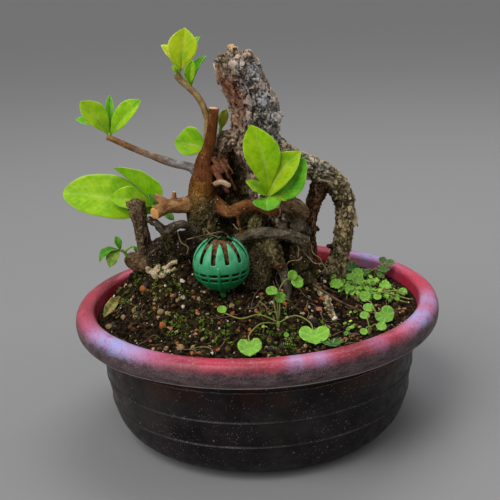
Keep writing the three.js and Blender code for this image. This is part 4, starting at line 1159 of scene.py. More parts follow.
def limb_coordinates(places, paths):
    """For each place the limb it belongs to, how far along it lies, its offsets from the limb's middle, the
    limb's direction there and what is left of the limb after it."""
    best = np.full(len(places), np.inf)
    owner = np.zeros(len(places), dtype=int)
    local = np.zeros((len(places), 3))
    heading = np.zeros((len(places), 3))
    left = np.zeros(len(places))
    for index, path in enumerate(paths):
        spine, radii = path[:, :3], path[:, 3]
        tangents, across, up = directions(spine)
        run = np.concatenate([[0], np.cumsum(np.linalg.norm(np.diff(spine, axis=0), axis=1))])
        margin = radii.max() + 5
        inside = (places > spine.min(axis=0) - margin) & (places < spine.max(axis=0) + margin)
        near = np.flatnonzero(inside.all(axis=1))
        for chunk in np.array_split(near, max(1, len(near) // 20000)):
            offset = places[chunk][:, None, :] - spine[None, :, :]
            away = np.linalg.norm(offset, axis=2)
            station = np.argmin(away - radii, axis=1)
            rows = np.arange(len(chunk))
            gap = (away - radii)[rows, station]
            closer = gap < best[chunk]
            chosen, station, offset = chunk[closer], station[closer], offset[rows, station][closer]
            best[chosen] = gap[closer]
            owner[chosen] = index
            lengthwise = run[station] + np.sum(offset * tangents[station], axis=1)
            sideways = np.sum(offset * across[station], axis=1)
            upwards = np.sum(offset * up[station], axis=1)
            local[chosen] = np.stack([lengthwise, sideways, upwards], axis=1)
            heading[chosen] = tangents[station]
            left[chosen] = run[-1] - lengthwise
    return owner, local, heading, left


def blurred(mesh, values, rounds):
    """Values at the points, evened out along the edges."""
    edges = np.empty(2 * len(mesh.edges), dtype=np.int64)
    mesh.edges.foreach_get("vertices", edges)
    first, second = edges.reshape(-1, 2).T
    counts = np.bincount(edges, minlength=len(mesh.vertices))[:, None] + 1
    for _ in range(rounds):
        total = values.copy()
        for column in range(values.shape[1]):
            total[:, column] += np.bincount(first, values[second, column], len(values))
            total[:, column] += np.bincount(second, values[first, column], len(values))
        values = total / counts
    return values


def build_tree(settings):
    paths = [limb_path(points) for _, _, points in LIMBS]
    made = fused(built("quince_tree", *merged(limb_solid(path) for path in paths)), settings.grid, 4)
    mesh = made.data
    places = points_of(mesh)
    owner, local, heading, left = limb_coordinates(places, paths)
    seeds = local + 37.0 * owner[:, None]
    barks = np.array([
        [np.hstack(BARKS[kind]) for kind in (kinds.split()[0], kinds.split()[-1])] for kinds, _, _ in LIMBS
    ])[owner]
    onward = smoothstep(local[:, 0] / (local[:, 0] + left) + 0.25 * rough(places, 5, 19), 0.2, 0.8)[:, None]
    numbers = blurred(mesh, barks[:, 0] * (1 - onward) + barks[:, 1] * onward, 3)
    pitch, depth, stretch, furrow, grain, mossy = numbers[:, 6:].T
    warp = np.stack([rough(seeds, 4.5, seed, 4) for seed in (1, 2, 3)], axis=1)
    lengths = np.stack([pitch * stretch, pitch, pitch], axis=1)
    crack, number, lean = plates((seeds + 2.4 * warp) / lengths, 1.0, 4)
    flake_crack, flake, _ = plates((seeds + 1.1 * warp) / lengths, 0.45, 14)
    fissure = np.abs(rough((seeds + 1.5 * warp) / (11, 2.6, 2.6), 1.0, 7, 3))
    knots = near_spots(places, KNOTS)
    sawn = np.array([bool(end) for _, end, _ in LIMBS])[owner]
    normals = normals_of(mesh)
    faces_end = np.sum(normals * heading, axis=1)
    sawn_face = sawn * smoothstep(faces_end, 0.55, 0.8) * smoothstep(-left, -1.6, -0.9)
    buried = smoothstep(mound_height(places[:, 0], places[:, 1]) - places[:, 2], 1, 6)
    plate_edge = smoothstep(crack, 0.0, 0.2)
    flake_edge = smoothstep(flake_crack, 0.0, 0.25)
    cut = smoothstep(fissure, 0.16, 0.03)
    rise = depth * (plate_edge * (0.35 + 1.1 * number + 0.6 * lean) + 0.4 * flake_edge * flake - 0.95)
    rise += furrow * (0.25 - 1.2 * cut)
    rise += grain * rough(places, 1.5, 11, 2) + 0.5 * depth * rough(places, 9, 13, 2)
    # How high each point stands in the bark's relief, which the material lightens as a painted highlight on
    # the crests
    crest_highlight = smoothstep(rise / np.maximum(depth + furrow, 0.3), -0.1, 0.8)
    rise = settings.relief * rise * (1 - sawn_face) * (1 - buried) + knots
    move_points(mesh, places + normals * rise[:, None])
    thinned = made.modifiers.new("Thinned", "DECIMATE")
    triangles = sum(len(face.vertices) - 2 for face in mesh.polygons)
    thinned.ratio = min(1.0, settings.faces / triangles)
    deep = np.clip(depth / 0.8, 0, 1)
    # Dark cracks: the bark's own dark furrows, with painted shade in them
    mark(mesh, "crack", np.maximum(smoothstep(crack, 0.15, 0.01) * deep, cut * np.clip(furrow, 0, 1)))
    mark(mesh, "crest_highlight", crest_highlight * deep)
    mark(mesh, "plate", 0.65 * number + 0.35 * flake)
    mark(mesh, "sawn", sawn_face)
    mark(mesh, "pith", np.hypot(local[:, 1], local[:, 2]))
    tint(mesh, "grain_place", (seeds + warp) / (7.0, 1.0, 1.0) / 40)
    tint(mesh, "grain", heading)
    tint(mesh, "wood", np.array([WOODS[end] for _, end, _ in LIMBS])[owner])
    tint(mesh, "bark_dark", numbers[:, :3])
    tint(mesh, "bark_light", numbers[:, 3:6])
    mark(mesh, "moss", mossy * smoothstep(rough(places, 7, 17), -0.5, 0.5))
    mark(mesh, "flaky", smoothstep(depth, 0.6, 1.0) * (1 - sawn_face) * smoothstep(crack, 0.05, 0.2))
    thick_limb = np.array([path[:, 3].max() for path in paths])[owner] > 6.2
    # The painted shade of the deep hollows is kept to the thick limbs
    for title, spots in SPOTS.items():
        mark(mesh, title, near_spots(places, spots) * (thick_limb if title == "hollow" else 1))
    settled(made)
    made.data.shade_smooth()
    finished(made, ["tree"], bark_material(settings))


def flake_mesh(random, corners=7):
    """A thin angular flake of bark about 1 mm in radius."""
    turns = [2 * math.pi * (i + 0.5 * random.random()) / corners for i in range(corners)]
    reach = [0.35 + 0.9 * random.random() for _ in turns]
    points = [(0, 0, 0.06)]
    for scale, height in ((0.98, 0.04), (1.0, -0.2)):
        points += [
            (1.6 * out * scale * math.cos(turn), 0.75 * out * scale * math.sin(turn), height)
            for turn, out in zip(turns, reach)
        ]
    faces = [[*range(2 * corners, corners, -1)]]
    for i in range(corners):
        k = (i + 1) % corners
        faces += [[0, 1 + i, 1 + k], [1 + i, 1 + corners + i, 1 + corners + k, 1 + k]]
    mesh = mesh_from("flake", points, faces)
    mesh.shade_flat()
    return mesh


def build_flakes(settings):
    """Loose flakes of bark over the old trunk, and moss over the roots."""
    random = Random(31)
    trunk = bpy.data.objects["quince_tree"]
    scattered(
        "quince_flakes", trunk, "bark", [flake_mesh(random) for _ in range(7)], trunk.data.materials[0],
        where="flaky", density=settings.flakes * 100, smallest=1.0, largest=3.4, tilt=0.16, spin=0.6,
        sink=0.0,
        seed=5,
    )
    scattered(
        "quince_root_moss", trunk, "weed_leaf", [moss_mesh(random) for _ in range(3)],
        bpy.data.materials["Moss shoots"], where="moss", density=settings.tufts * 100, smallest=0.4,
        largest=1.1,
        tilt=0.6, sink=0.0, seed=6,
    )


def bark_material(settings):
    """Flaking bark with dark cracks, lichen and moss, pale wood where it is sawn, painted highlights on its
    crests and painted shade in its cracks and hollows.
    """
    sheet = MaterialSheet("Quince bark", 0.04)
    dark, light = (sheet.attribute(name, "Color") for name in ("bark_dark", "bark_light"))
    streaks = sheet.noise(22, 5, 0.65, sheet.attribute("grain_place", "Vector"))
    fine = sheet.noise(1.0, 5, 0.7)
    tone = sheet.attribute("plate") * 0.35 + sheet.noise(6, 4) * 0.65
    tone = tone * 0.45 + fine * 0.25 + streaks * 0.3
    shade = sheet.mix(tone.step(0.38, 0.66), dark, light)
    # Painted highlight on the raised crests of the bark
    shade = shade.mix(sheet.attribute("crest_highlight") * fine.step(0.46, 0.66) * 0.7, (0.66, 0.57, 0.46))
    red = sheet.mix(fine, (0.12, 0.03, 0.012), (0.52, 0.2, 0.11))
    shade = shade.mix(sheet.attribute("red") * tone.step(0.36, 0.5), red)
    shade = shade.mix(sheet.attribute("ochre") * fine.step(0.42, 0.62), (0.4, 0.24, 0.03))
    shade = shade.mix(sheet.attribute("moss") * sheet.noise(2.2, 5).step(0.42, 0.6), settings.moss)
    patchy = (sheet.noise(3.4, 6, 0.7) + fine * 0.3).step(0.54, 0.64)
    shade = shade.mix(sheet.attribute("lichen") * patchy * 0.95, settings.lichen)
    # The cracks' own dark colour, deepened with painted shade
    shade = shade.mix(sheet.attribute("crack") * 0.92, (0.016, 0.01, 0.006))
    # Painted shade that keeps the deep hollows nearly black
    shade = shade.mix(sheet.attribute("hollow") * 0.9, (0.006, 0.004, 0.003))
    shade = shade.mix(sheet.attribute("peeled").step(0.45, 0.7), (0.74, 0.48, 0.25))
    shade = shade.mix(sheet.specks(620.0, 0.16) * 0.6, (0.7, 0.63, 0.5))
    pith = sheet.attribute("pith")
    wood = sheet.attribute("wood", "Color").mix(pith.step(2.6, 1.2, 0.0, 0.6), (0.92, 0.76, 0.5))
    wood = wood.mix(sheet.math("SINE", pith * 5.0).step(-0.6, 1.0) * 0.35, (0.5, 0.2, 0.06))
    shade = shade.mix(sheet.attribute("sawn").step(0.35, 0.65), wood)
    grain = sheet.relief(1100.0, 0.0007) + streaks * 0.0006
    return sheet.done(shade, fine.step(0.3, 0.7, 0.6, 0.92), grain)


# The quince's young shoots


# Leaf colours: the blade, and the paler one towards which it is mottled
TONES = {
    "lime": ((0.2, 0.4, 0.004), (0.3, 0.52, 0.012)),
    "fresh": ((0.25, 0.49, 0.002), (0.35, 0.6, 0.006)),
    # The top shoot's yellow-green, made lighter as painted light where its leaves are lit from behind
    "bright": ((0.46, 0.56, 0.006), (0.56, 0.68, 0.03)),
    "yellow": ((0.25, 0.4, 0.004), (0.34, 0.5, 0.012)),
    "green": ((0.08, 0.32, 0.008), (0.17, 0.44, 0.025)),
    "deep": ((0.03, 0.16, 0.006), (0.08, 0.26, 0.015)),
    "pale": ((0.28, 0.54, 0.14), (0.4, 0.64, 0.24)),
    "olive": ((0.18, 0.14, 0.008), (0.28, 0.25, 0.02)),
    "dull": ((0.13, 0.2, 0.03), (0.22, 0.3, 0.06)),
}

# A leaf runs from its foot to its tip, face is the side that shows, fold the angle by which its halves rise
# towards it, fullness where it is widest, blunt how round it is, bow how far its rib arches, sway how far it
# leans sideways, curl how far its edges bend back and wave how far they waver
Leaf = namedtuple(
    "Leaf", "start tip face width tone fold fullness blunt bow sway curl wave",
    defaults=(25, 1.35, 0.65, 1.5, 0, 0.1, 0.35),
)

# Shoots as stems, which start inside the wood, of (radius, points), and leaves
SHOOTS = {
    "shoot_top": {
        "stems": [(1.4, ((-42, 13, 221), (-40.5, 12.6, 224), (-39.2, 12.2, 226.5)))],
        "leaves": [
            Leaf(
                (-39, 12, 224.5), (-35.1, 11, 249.5), (0.15, -1, 0.2), 19, "bright", fold=18, fullness=1.3,
                blunt=0.8,
            ),
            Leaf((-40.2, 13, 224), (-50.6, 16.5, 239.5), (0.5, -0.6, 0.4), 12, "bright", fold=32),
            Leaf((-39.2, 13.5, 224.5), (-26.4, 19.5, 243.3), (-0.6, -0.6, 0.2), 12, "green", fold=32),
            Leaf((-41.5, 12.3, 223), (-44.5, 10.5, 227.5), (0.3, -1, 0.3), 3.6, "lime"),
        ],
    },
    "shoot_top_side": {
        "stems": [(1.2, ((-35, 12, 213.5), (-33.8, 11.6, 216.5)))],
        "leaves": [
            Leaf((-34, 11.6, 215.5), (-31.5, 5, 231), (-0.2, -1, 0.1), 8, "lime", fold=28),
            Leaf((-33.6, 12, 215.5), (-23.3, 13, 232), (-0.7, -0.6, 0.3), 9, "green", fold=44),
        ],
    },
    "shoot_left": {
        "stems": [(1.4, ((-84, -5, 188.5), (-83, -5, 191.5)))],
        "leaves": [
            Leaf((-83.3, -5.2, 190.5), (-98.2, -8, 211), (0.3, -0.9, 0.45), 15.5, "yellow", fold=26),
            Leaf((-82.6, -5.2, 190.5), (-62.4, -9, 210), (-0.35, -0.85, 0.5), 15.5, "lime", fold=28),
            Leaf((-83, -4.2, 190.5), (-81.8, 0.5, 213), (0, -1, 0.1), 7.5, "green", fold=42),
            Leaf((-83.8, -4.6, 190.5), (-103.3, -2, 199.6), (0.3, -0.3, 1), 12, "green", fold=24),
        ],
    },
    "shoot_low_left": {
        "stems": [(1.4, ((-50, -6, 145), (-55, 0, 143.5), (-61, 5, 142), (-65, 7, 142)))],
        "leaves": [
            Leaf(
                (-60, 7.5, 140), (-116.6, 3, 154), (0, -0.8, 0.62), 31, "lime", fold=10, bow=3, fullness=1.2,
                blunt=0.52, wave=0.7,
            ),
            Leaf((-62, 6, 142), (-87, -0.5, 150), (0, -0.7, 0.7), 17, "lime", fold=22, bow=3),
            Leaf(
                (-59.5, 6.5, 142.5), (-84.4, 9, 167), (0.55, 0.5, 0.65), 27, "lime", fold=44, bow=1,
                fullness=0.6,
            ),
            Leaf((-58, 3, 143), (-63, 3, 151), (0.3, -0.9, 0.2), 6.5, "deep"),
            Leaf((-58, 2.5, 142.5), (-49, 1, 134), (0.3, -0.9, 0.3), 6, "pale"),
        ],
    },
    "leaf_behind": {
        "stems": [(1, ((-26, 0, 175), (-28.5, 5, 176), (-30, 9, 176.5)))],
        "leaves": [
            Leaf(
                (-26.5, 8.5, 177), (-46.3, 13, 180.5), (-0.2, -0.8, 0.55), 24, "lime", fullness=0.95,
                blunt=0.85, fold=34,
            ),
        ],
    },
    "bud_leaf": {
        "stems": [(1.3, ((-17, 5, 184), (-17, 3.6, 189.5)))],
        "leaves": [
            Leaf((-17, 3.4, 188), (-13, 3.5, 201), (0.2, -1, 0), 6.5, "olive", fold=14, bow=-1),
        ],
    },
    "shoot_centre": {
        "stems": [(1.6, ((11, -11, 139), (10, -13, 144.5), (10, -13.5, 151)))],
        "leaves": [
            Leaf(
                (9.4, -13.5, 150), (1.6, -17, 194), (0.05, -1, 0.3), 22, "fresh", fold=14, bow=3,
                fullness=1.5, blunt=0.8, sway=2.2,
            ),
            Leaf(
                (10.2, -14.4, 149), (30.2, -20, 177.3), (-0.45, -0.8, 0.3), 21, "yellow", fold=24,
                fullness=1.2, blunt=0.8, sway=-2,
            ),
            Leaf(
                (14.5, -14.6, 149), (32.6, -18, 172.5), (-0.2, -0.9, 0.4), 17, "green", fullness=0.95,
                blunt=0.5, fold=16, sway=4, bow=2.5,
            ),
            Leaf((9.4, -14.2, 150), (-3, -20, 161), (0.4, -0.8, 0.5), 8, "lime"),
            Leaf((9.6, -14.4, 149.3), (9, -25.5, 143.5), (-0.1, -0.5, 0.85), 17, "green", fold=10),
            Leaf((11.2, -14.2, 149.2), (21, -19, 147.5), (-0.1, -0.6, 0.8), 5, "yellow"),
        ],
    },
    "shoot_curled": {
        "stems": [
            (1.1, ((-78.5, -5, 112.5), (-80.6, -6.3, 117), (-83, -8, 119))),
            (0.8, ((-80.4, -6.2, 116.8), (-78, -7.4, 119.2), (-75.5, -9, 121))),
        ],
        "leaves": [
            Leaf((-82.8, -8, 118.8), (-95, -14, 113.5), (-0.2, -0.3, 0.95), 9, "deep", bow=3.5),
            Leaf((-82.6, -7.8, 118.8), (-85, -6, 127), (0.4, -0.9, 0), 5.5, "deep"),
            Leaf((-82.6, -8.3, 118.6), (-89, -16, 110.5), (-0.3, -0.8, 0.5), 9.5, "dull", bow=2.5),
            Leaf((-76, -8.7, 120.4), (-72.8, -10.6, 117.4), (0.6, -0.3, 0.8), 4.2, "deep"),
        ],
    },
}
SIDE_VEIN_PITCH = 3.4
HALF_COLUMNS = 7
LEAF_TWIST = 0.25


def leaf_blade(leaf, settings):
    """A single-sided serrated blade: its points, its faces, for each point how far across and along the
    blade it lies and the blade's length, and the places of its rib."""
    start, tip = np.array(leaf.start, dtype=float), np.array(leaf.tip, dtype=float)
    span = np.linalg.norm(tip - start)
    along = (tip - start) / span
    front = np.array(leaf.face, dtype=float)
    front = unit(front - along * (front @ along))
    rise = math.tan(math.radians(leaf.fold))
    teeth = max(5, round(span / (settings.pitch / MM)))
    rows = 3 * teeth
    part = np.linspace(0, 1, rows + 1)[:, None]
    sideways = np.linspace(-1, 1, 2 * HALF_COLUMNS + 1)[None, :]
    reach = np.abs(sideways)
    outline = np.sin(math.pi * part**leaf.fullness)**leaf.blunt
    outline = np.maximum(0.05 * (1 - part), outline)
    tooth = ((part * teeth) % 1) * settings.tooth / MM * np.minimum(1, 6 * outline)
    half = (leaf.width / 2 * outline - tooth * reach**6) / math.hypot(1, rise)
    half = np.maximum(half, 0.08)
    seed = abs(start[0] * 1.7 + tip[2])
    # Pillows between the side veins, which run forward from the rib
    vein_place = (part * span - 1.1 * reach * half) / SIDE_VEIN_PITCH
    between = np.abs(((vein_place + 0.5) % 1) * 2 - 1)
    pillow = (1 - between**3 - 0.6) * settings.vein / MM * np.minimum(1, 3 * reach) * (1 - reach**4) * outline
    lift = reach * half * rise * (1 - leaf.curl * reach) + pillow
    waves = np.sin(2 * math.pi * (2.3 * part + seed) + (sideways > 0) * 1.9)
    lift = lift + leaf.wave * outline * reach**2 * waves
    lift = lift - 0.12 * np.exp(-(reach / 0.1)**2)
    turn = LEAF_TWIST * (part - 0.3) * math.sin(3 * seed)
    cos, sin = np.cos(turn), np.sin(turn)
    out, up = sideways * half * cos - lift * sin, sideways * half * sin + lift * cos
    arch = leaf.bow * 4 * part * (1 - part)
    across = np.cross(along, front)
    sway = (leaf.sway + 0.02 * span * math.sin(5 * seed)) * np.sin(math.pi * part)
    points = (
        start + along * (part * span)[:, :, None] + across * (out + sway)[:, :, None]
        + front * (up + arch)[:, :, None]
    )
    faces = grid_faces(rows + 1, sideways.shape[1], closed=False)
    facts = np.stack(np.broadcast_arrays(sideways, part, np.full_like(points[:, :, 0], span)), axis=2)
    rib = start + along * (part * span) + across * sway + front * (arch - 0.3)
    return points.reshape(-1, 3), faces, facts.reshape(-1, 3), rib


def thickened(made, thickness):
    """Gives a sheet of blades a thickness in metres, half to each side."""
    thick = made.modifiers.new("Thick", "SOLIDIFY")
    thick.thickness, thick.offset = thickness, 0
    return settled(made)


def mark_leaves(mesh, facts, blade, blade_pale):
    """Stores how far across and along its blade each point lies, the blade's length and its two colours."""
    for title, values in zip(("across", "along", "span"), facts):
        mark(mesh, title, np.broadcast_to(values, len(mesh.vertices)))
    tint(mesh, "blade", blade)
    tint(mesh, "blade_pale", blade_pale)


def leaf_sheet(name, leaves, settings, thickness):
    """A solid sheet of all the blades of a shoot, and the places of their ribs."""
    points, faces, facts, ribs = zip(*(leaf_blade(leaf, settings) for leaf in leaves))
    made = built(name, *merged(zip(points, faces)))
    colours = np.repeat([TONES[leaf.tone] for leaf in leaves], [len(blade) for blade in points], axis=0)
    mark_leaves(made.data, np.vstack(facts).T, colours[:, 0], colours[:, 1])
    return thickened(made, thickness), ribs


def with_stems(made, stems, colour_of_stem):
    """Joins closed stems to a sheet of leaves, as parts of one mesh."""
    mesh = mesh_from("stems", *merged(stems))
    mark_leaves(mesh, (2.0, 1.0, 1.0), colour_of_stem, colour_of_stem)
    joined(made, mesh).data.shade_smooth()


def build_shoot(name, settings):
    shoot = SHOOTS[name]
    made, ribs = leaf_sheet(f"quince_{name}", shoot["leaves"], settings, settings.thickness)
    stems = []
    for radius, places in shoot["stems"]:
        rows = smooth_path(places, 3)
        stems.append(tube([(*row, radius * (1 - 0.25 * i / 6)) for i, row in enumerate(rows)], 10))
    for leaf, rib in zip(shoot["leaves"], ribs):
        rows = rib[:: max(1, len(rib) // 12)]
        slim = np.linspace(0.5, 0.12, len(rows)) * min(1.0, leaf.width / 9)
        stems.append(tube(np.column_stack([rows, slim]), 6))
    with_stems(made, stems, tuple(settings.stem))
    material = bpy.data.materials.get("Quince leaf") or leaf_material(settings)
    finished(made, [name], material)


def leaf_material(settings):
    """Thin young leaf that lets light through, with a pale rib and side veins, and a painted highlight along
    its edge.
    """
    sheet = MaterialSheet("Quince leaf", 0.09)
    across, along, span = (sheet.attribute(name) for name in ("across", "along", "span"))
    reach = abs(across)
    mottle = sheet.noise(5, 4).step(0.35, 0.65)
    deeper = sheet.noise(11, 3).step(0.45, 0.7, 0.0, 0.45)
    shade = sheet.blade_colour(mottle).mix(deeper, (0.07, 0.26, 0.006))
    run = sheet.math("FRACT", (along * span - reach * 9.9) / SIDE_VEIN_PITCH)
    vein = abs(run - 0.5).step(0.43, 0.5) * reach.step(0.95, 0.6)
    rib = reach.step(0.1, 0.03) * along.step(0.9, 0.1, 0.2, 0.6)
    # Pale rib and side veins, and a painted highlight along the edge
    rib_veins_and_edge_highlight = vein * 0.24 | rib * 0.75 | reach.step(0.93, 1.0) * 0.4
    # Stems are marked as lying far across, and have no lines
    rib_veins_and_edge_highlight = rib_veins_and_edge_highlight * sheet.math("LESS_THAN", reach, 1.5)
    shade = shade.mix(rib_veins_and_edge_highlight, settings.rib)
    net = sheet.relief(1300.0, 0.00018) - rib_veins_and_edge_highlight * 8e-05
    soak = (0.55, (0.5, 1.0, 0.12), 0.0022)
    return sheet.done(shade, mottle.step(0.0, 1.0, 0.36, 0.5), net, 0.7, soak)


# What is scattered over the soil, and the basket's slots, by geometry nodes


# Radius in metres of the soil that lies open
OPEN_RADIUS = 0.097


def worked(made, tree, **values):
    """Runs a geometry tree on an object, with its inputs by lower-case name, into a plain mesh."""
    modifier = made.modifiers.new(tree.name, "NODES")
    modifier.node_group = tree
    for item in tree.interface.items_tree:
        name = item.name.lower().replace(" ", "_")
        if item.in_out == "INPUT" and name in values:
            modifier[item.identifier] = values[name]
    return settled(made)


def scatter_tree(name):
    """Shapes scattered over a surface, most where its attribute is high, small ones the commonest."""
    made, sheet, given, out = node_group(
        name, "Geometry", ("Geometry", "Geometry"), Surface="Geometry", Shapes="Collection", Where="String",
        Density="Float", Smallest="Float", Largest="Float", Tilt="Float", Spin="Float", Sink="Float",
        Seed="Int", Material="Material",
    )
    where = sheet.wire(
        "GeometryNodeInputNamedAttribute", {"Name": given["Where"]}, "Attribute", data_type="FLOAT"
    )
    density = where * given["Density"]
    spots = sheet.add(
        "GeometryNodeDistributePointsOnFaces",
        {"Mesh": given["Surface"], "Density": density, "Seed": given["Seed"]},
    )
    chance = sheet.wire("FunctionNodeRandomValue", {"Seed": given["Seed"]}, 1, data_type="FLOAT")
    spread = given["Largest"] - given["Smallest"]
    scale = given["Smallest"] + sheet.math("POWER", chance, 2.5) * spread
    back = given["Tilt"] * -1.0
    least = sheet.wire("ShaderNodeCombineXYZ", {"X": back, "Y": back, "Z": given["Spin"] * -1.0})
    most = sheet.wire("ShaderNodeCombineXYZ", {"X": given["Tilt"], "Y": given["Tilt"], "Z": given["Spin"]})
    turn = sheet.wire(
        "FunctionNodeRandomValue", {0: least, 1: most, "Seed": given["Seed"]}, data_type="FLOAT_VECTOR"
    )
    turn = sheet.wire("FunctionNodeEulerToRotation", {0: turn})
    # Shapes lie along the surface's grain, where it has one
    grain = sheet.wire("GeometryNodeInputNamedAttribute", {"Name": "grain"}, data_type="FLOAT_VECTOR")
    along = sheet.wire(
        "FunctionNodeAlignRotationToVector", {0: spots.outputs["Rotation"], "Vector": grain}, axis="X",
        pivot_axis="Z",
    )
    facing = sheet.wire("FunctionNodeRotateRotation", {0: along, 1: turn}, rotation_space="LOCAL")
    shapes = sheet.wire(
        "GeometryNodeCollectionInfo",
        {"Collection": given["Shapes"], "Separate Children": True, "Reset Children": True},
    )
    placed = sheet.wire(
        "GeometryNodeInstanceOnPoints",
        {
            "Points": spots.outputs["Points"], "Instance": shapes, "Pick Instance": True, "Rotation": facing,
            "Scale": scale,
        },
    )
    down = sheet.upward(given["Sink"] * -MM)
    sunk = sheet.wire("GeometryNodeTranslateInstances", {"Instances": placed, "Translation": down})
    number = sheet.wire("FunctionNodeRandomValue", {"Seed": 77}, 1, data_type="FLOAT")
    named = sheet.wire(
        "GeometryNodeStoreNamedAttribute", {"Geometry": sunk, "Name": "number", "Value": number},
        data_type="FLOAT", domain="INSTANCE",
    )
    whole = sheet.wire("GeometryNodeRealizeInstances", {0: named})
    sheet.feed(out, sheet.wire("GeometryNodeSetMaterial", {0: whole, "Material": given["Material"]}))
    return made


def shape_set(name, meshes):
    """A collection of shapes to scatter, which isn't shown."""
    collection = bpy.data.collections.new(name)
    for index, mesh in enumerate(meshes):
        collection.objects.link(bpy.data.objects.new(f"{name}_{index}", mesh))
    return collection


def discard(collection):
    for shape in list(collection.objects):
        bpy.data.objects.remove(shape)
    bpy.data.collections.remove(collection)


def grain_mesh(random, subdivisions=1, squash=0.75):
    """An irregular grain about 1 mm in radius, smooth if it is of many faces."""
    work = bmesh.new()
    bmesh.ops.create_icosphere(work, subdivisions=subdivisions, radius=MM)
    stretch = (1 + 0.35 * random.random(), 0.8 + 0.3 * random.random(), squash)
    for corner in work.verts:
        factor = 0.8 + 0.4 * random.random()
        corner.co = Vector([value * scale * factor for value, scale in zip(corner.co, stretch)])
    mesh = bpy.data.meshes.new("grain")
    work.to_mesh(mesh)
    work.free()
    if subdivisions > 1:
        mesh.shade_smooth()
    return mesh


def moss_mesh(random, leaflets=6):
    """A moss shoot about 1 mm tall: pointed leaflets that spread from one foot."""
    solids = []
    for i in range(leaflets):
        turn = 2 * math.pi * i / leaflets + random.random()
        lean = 0.35 + 0.5 * random.random()
        ahead = np.array((math.cos(turn), math.sin(turn), 0))
        beside = np.array((-math.sin(turn), math.cos(turn), 0)) * 0.16
        middle = ahead * lean * 0.55 + np.array((0, 0, 0.62))
        tip = ahead * lean * (1.1 + 0.3 * random.random()) + np.array((0, 0, 0.95))
        foot = np.array((0, 0, -0.3))
        thick = np.array((0, 0, 0.1))
        points = [foot, middle - beside, middle + beside, tip, middle + thick]
        solids.append((points, [(0, 1, 4), (0, 4, 2), (1, 3, 4), (4, 3, 2), (0, 2, 1), (1, 2, 3)]))
    return mesh_from("moss", *merged(solids))


def scattered(name, ground, slot, meshes, material, spin=math.pi, **values):
    """A piece made of shapes scattered over the ground."""
    shapes = shape_set(f"{name}_shapes", meshes)
    made = linked(name, ground.data.copy())
    worked(made, shared_tree("Scatter"), shapes=shapes, material=material, spin=spin, **values)
    discard(shapes)
    return finished(made, [])


def build_scatter(settings):
    """Grains, granules, moss shoots and rootlets over the soil."""
    ground = bpy.data.objects["quince_soil"]
    random = Random(settings.seed)
    area = math.pi * OPEN_RADIUS**2
    grains = [grain_mesh(random) for _ in range(5)]
    stones = [grain_mesh(random, 2, 0.8) for _ in range(5)]
    scattered(
        "quince_grains", ground, "soil", grains, grain_material("Soil grains", GRAIN_COLOURS), where="grit",
        density=settings.grains / area, smallest=0.5, largest=1.9, tilt=0.9, sink=0.1, seed=settings.seed,
    )
    scattered(
        "quince_pebbles", ground, "soil", stones, grain_material("Soil pebbles", PEBBLE_COLOURS),
        where="grit", density=settings.pebbles / area, smallest=1.0, largest=2.5, tilt=0.7, sink=0.1,
        seed=settings.seed + 1,
    )
    scattered(
        "quince_moss", ground, "weed_leaf", [moss_mesh(random) for _ in range(4)], moss_material(),
        where="moss", density=settings.tufts / area * 2.5, smallest=0.9, largest=2.6, tilt=0.5, sink=0.0,
        seed=settings.seed + 2,
    )
    build_rootlets(random)


# Colours of loose grains and granules, each with the share of them that is under it
GRAIN_COLOURS = (
    (0.0, (0.004, 0.003, 0.002)), (0.4, (0.012, 0.008, 0.0045)), (0.62, (0.04, 0.022, 0.011)),
    (0.75, (0.12, 0.065, 0.03)), (0.84, (0.04, 0.038, 0.03)), (0.88, (0.38, 0.26, 0.14)),
    (0.94, (0.4, 0.13, 0.045)), (0.97, (0.75, 0.66, 0.52)),
)
PEBBLE_COLOURS = (
    (0.0, (0.02, 0.012, 0.007)), (0.34, (0.08, 0.043, 0.022)), (0.56, (0.05, 0.048, 0.042)),
    (0.68, (0.32, 0.22, 0.11)), (0.8, (0.42, 0.13, 0.04)), (0.87, (0.5, 0.19, 0.12)),
    (0.92, (0.5, 0.38, 0.2)), (0.97, (0.66, 0.6, 0.5)),
)


def grain_material(name, colours):
    """Loose granules, each of one colour, dusty and finely pitted."""
    sheet = MaterialSheet(name)
    ramp = sheet.add("ShaderNodeValToRGB", {0: sheet.attribute("number")})
    ramp.color_ramp.interpolation = "CONSTANT"
    while len(ramp.color_ramp.elements) < len(colours):
        ramp.color_ramp.elements.new(0.5)
    for element, (start, value) in zip(ramp.color_ramp.elements, colours):
        element.position = start
        element.color = (*value, 1)
    dirt = sheet.noise(1.3, 4).step(0.35, 0.62)
    shade = sheet.mix(dirt * 0.35, ramp.outputs[0], (0.012, 0.008, 0.005))
    return sheet.done(shade, dirt.step(0.0, 1.0, 0.55, 0.9), sheet.relief(1500.0, 0.0004))


def moss_material():
    sheet = MaterialSheet("Moss shoots")
    number = sheet.attribute("number").step(0.2, 0.9)
    shade = sheet.mix(number, (0.035, 0.06, 0.012), (0.16, 0.26, 0.03))
    shade = shade.mix(sheet.noise(9, 3).step(0.42, 0.6) * 0.55, (0.2, 0.3, 0.035))
    return sheet.done(shade, 0.7, soak=(0.3, (0.4, 0.8, 0.1), 0.001))


def lying(x, y, lift=0.3):
    return (x, y, float(soil_height(x, y)) + lift)


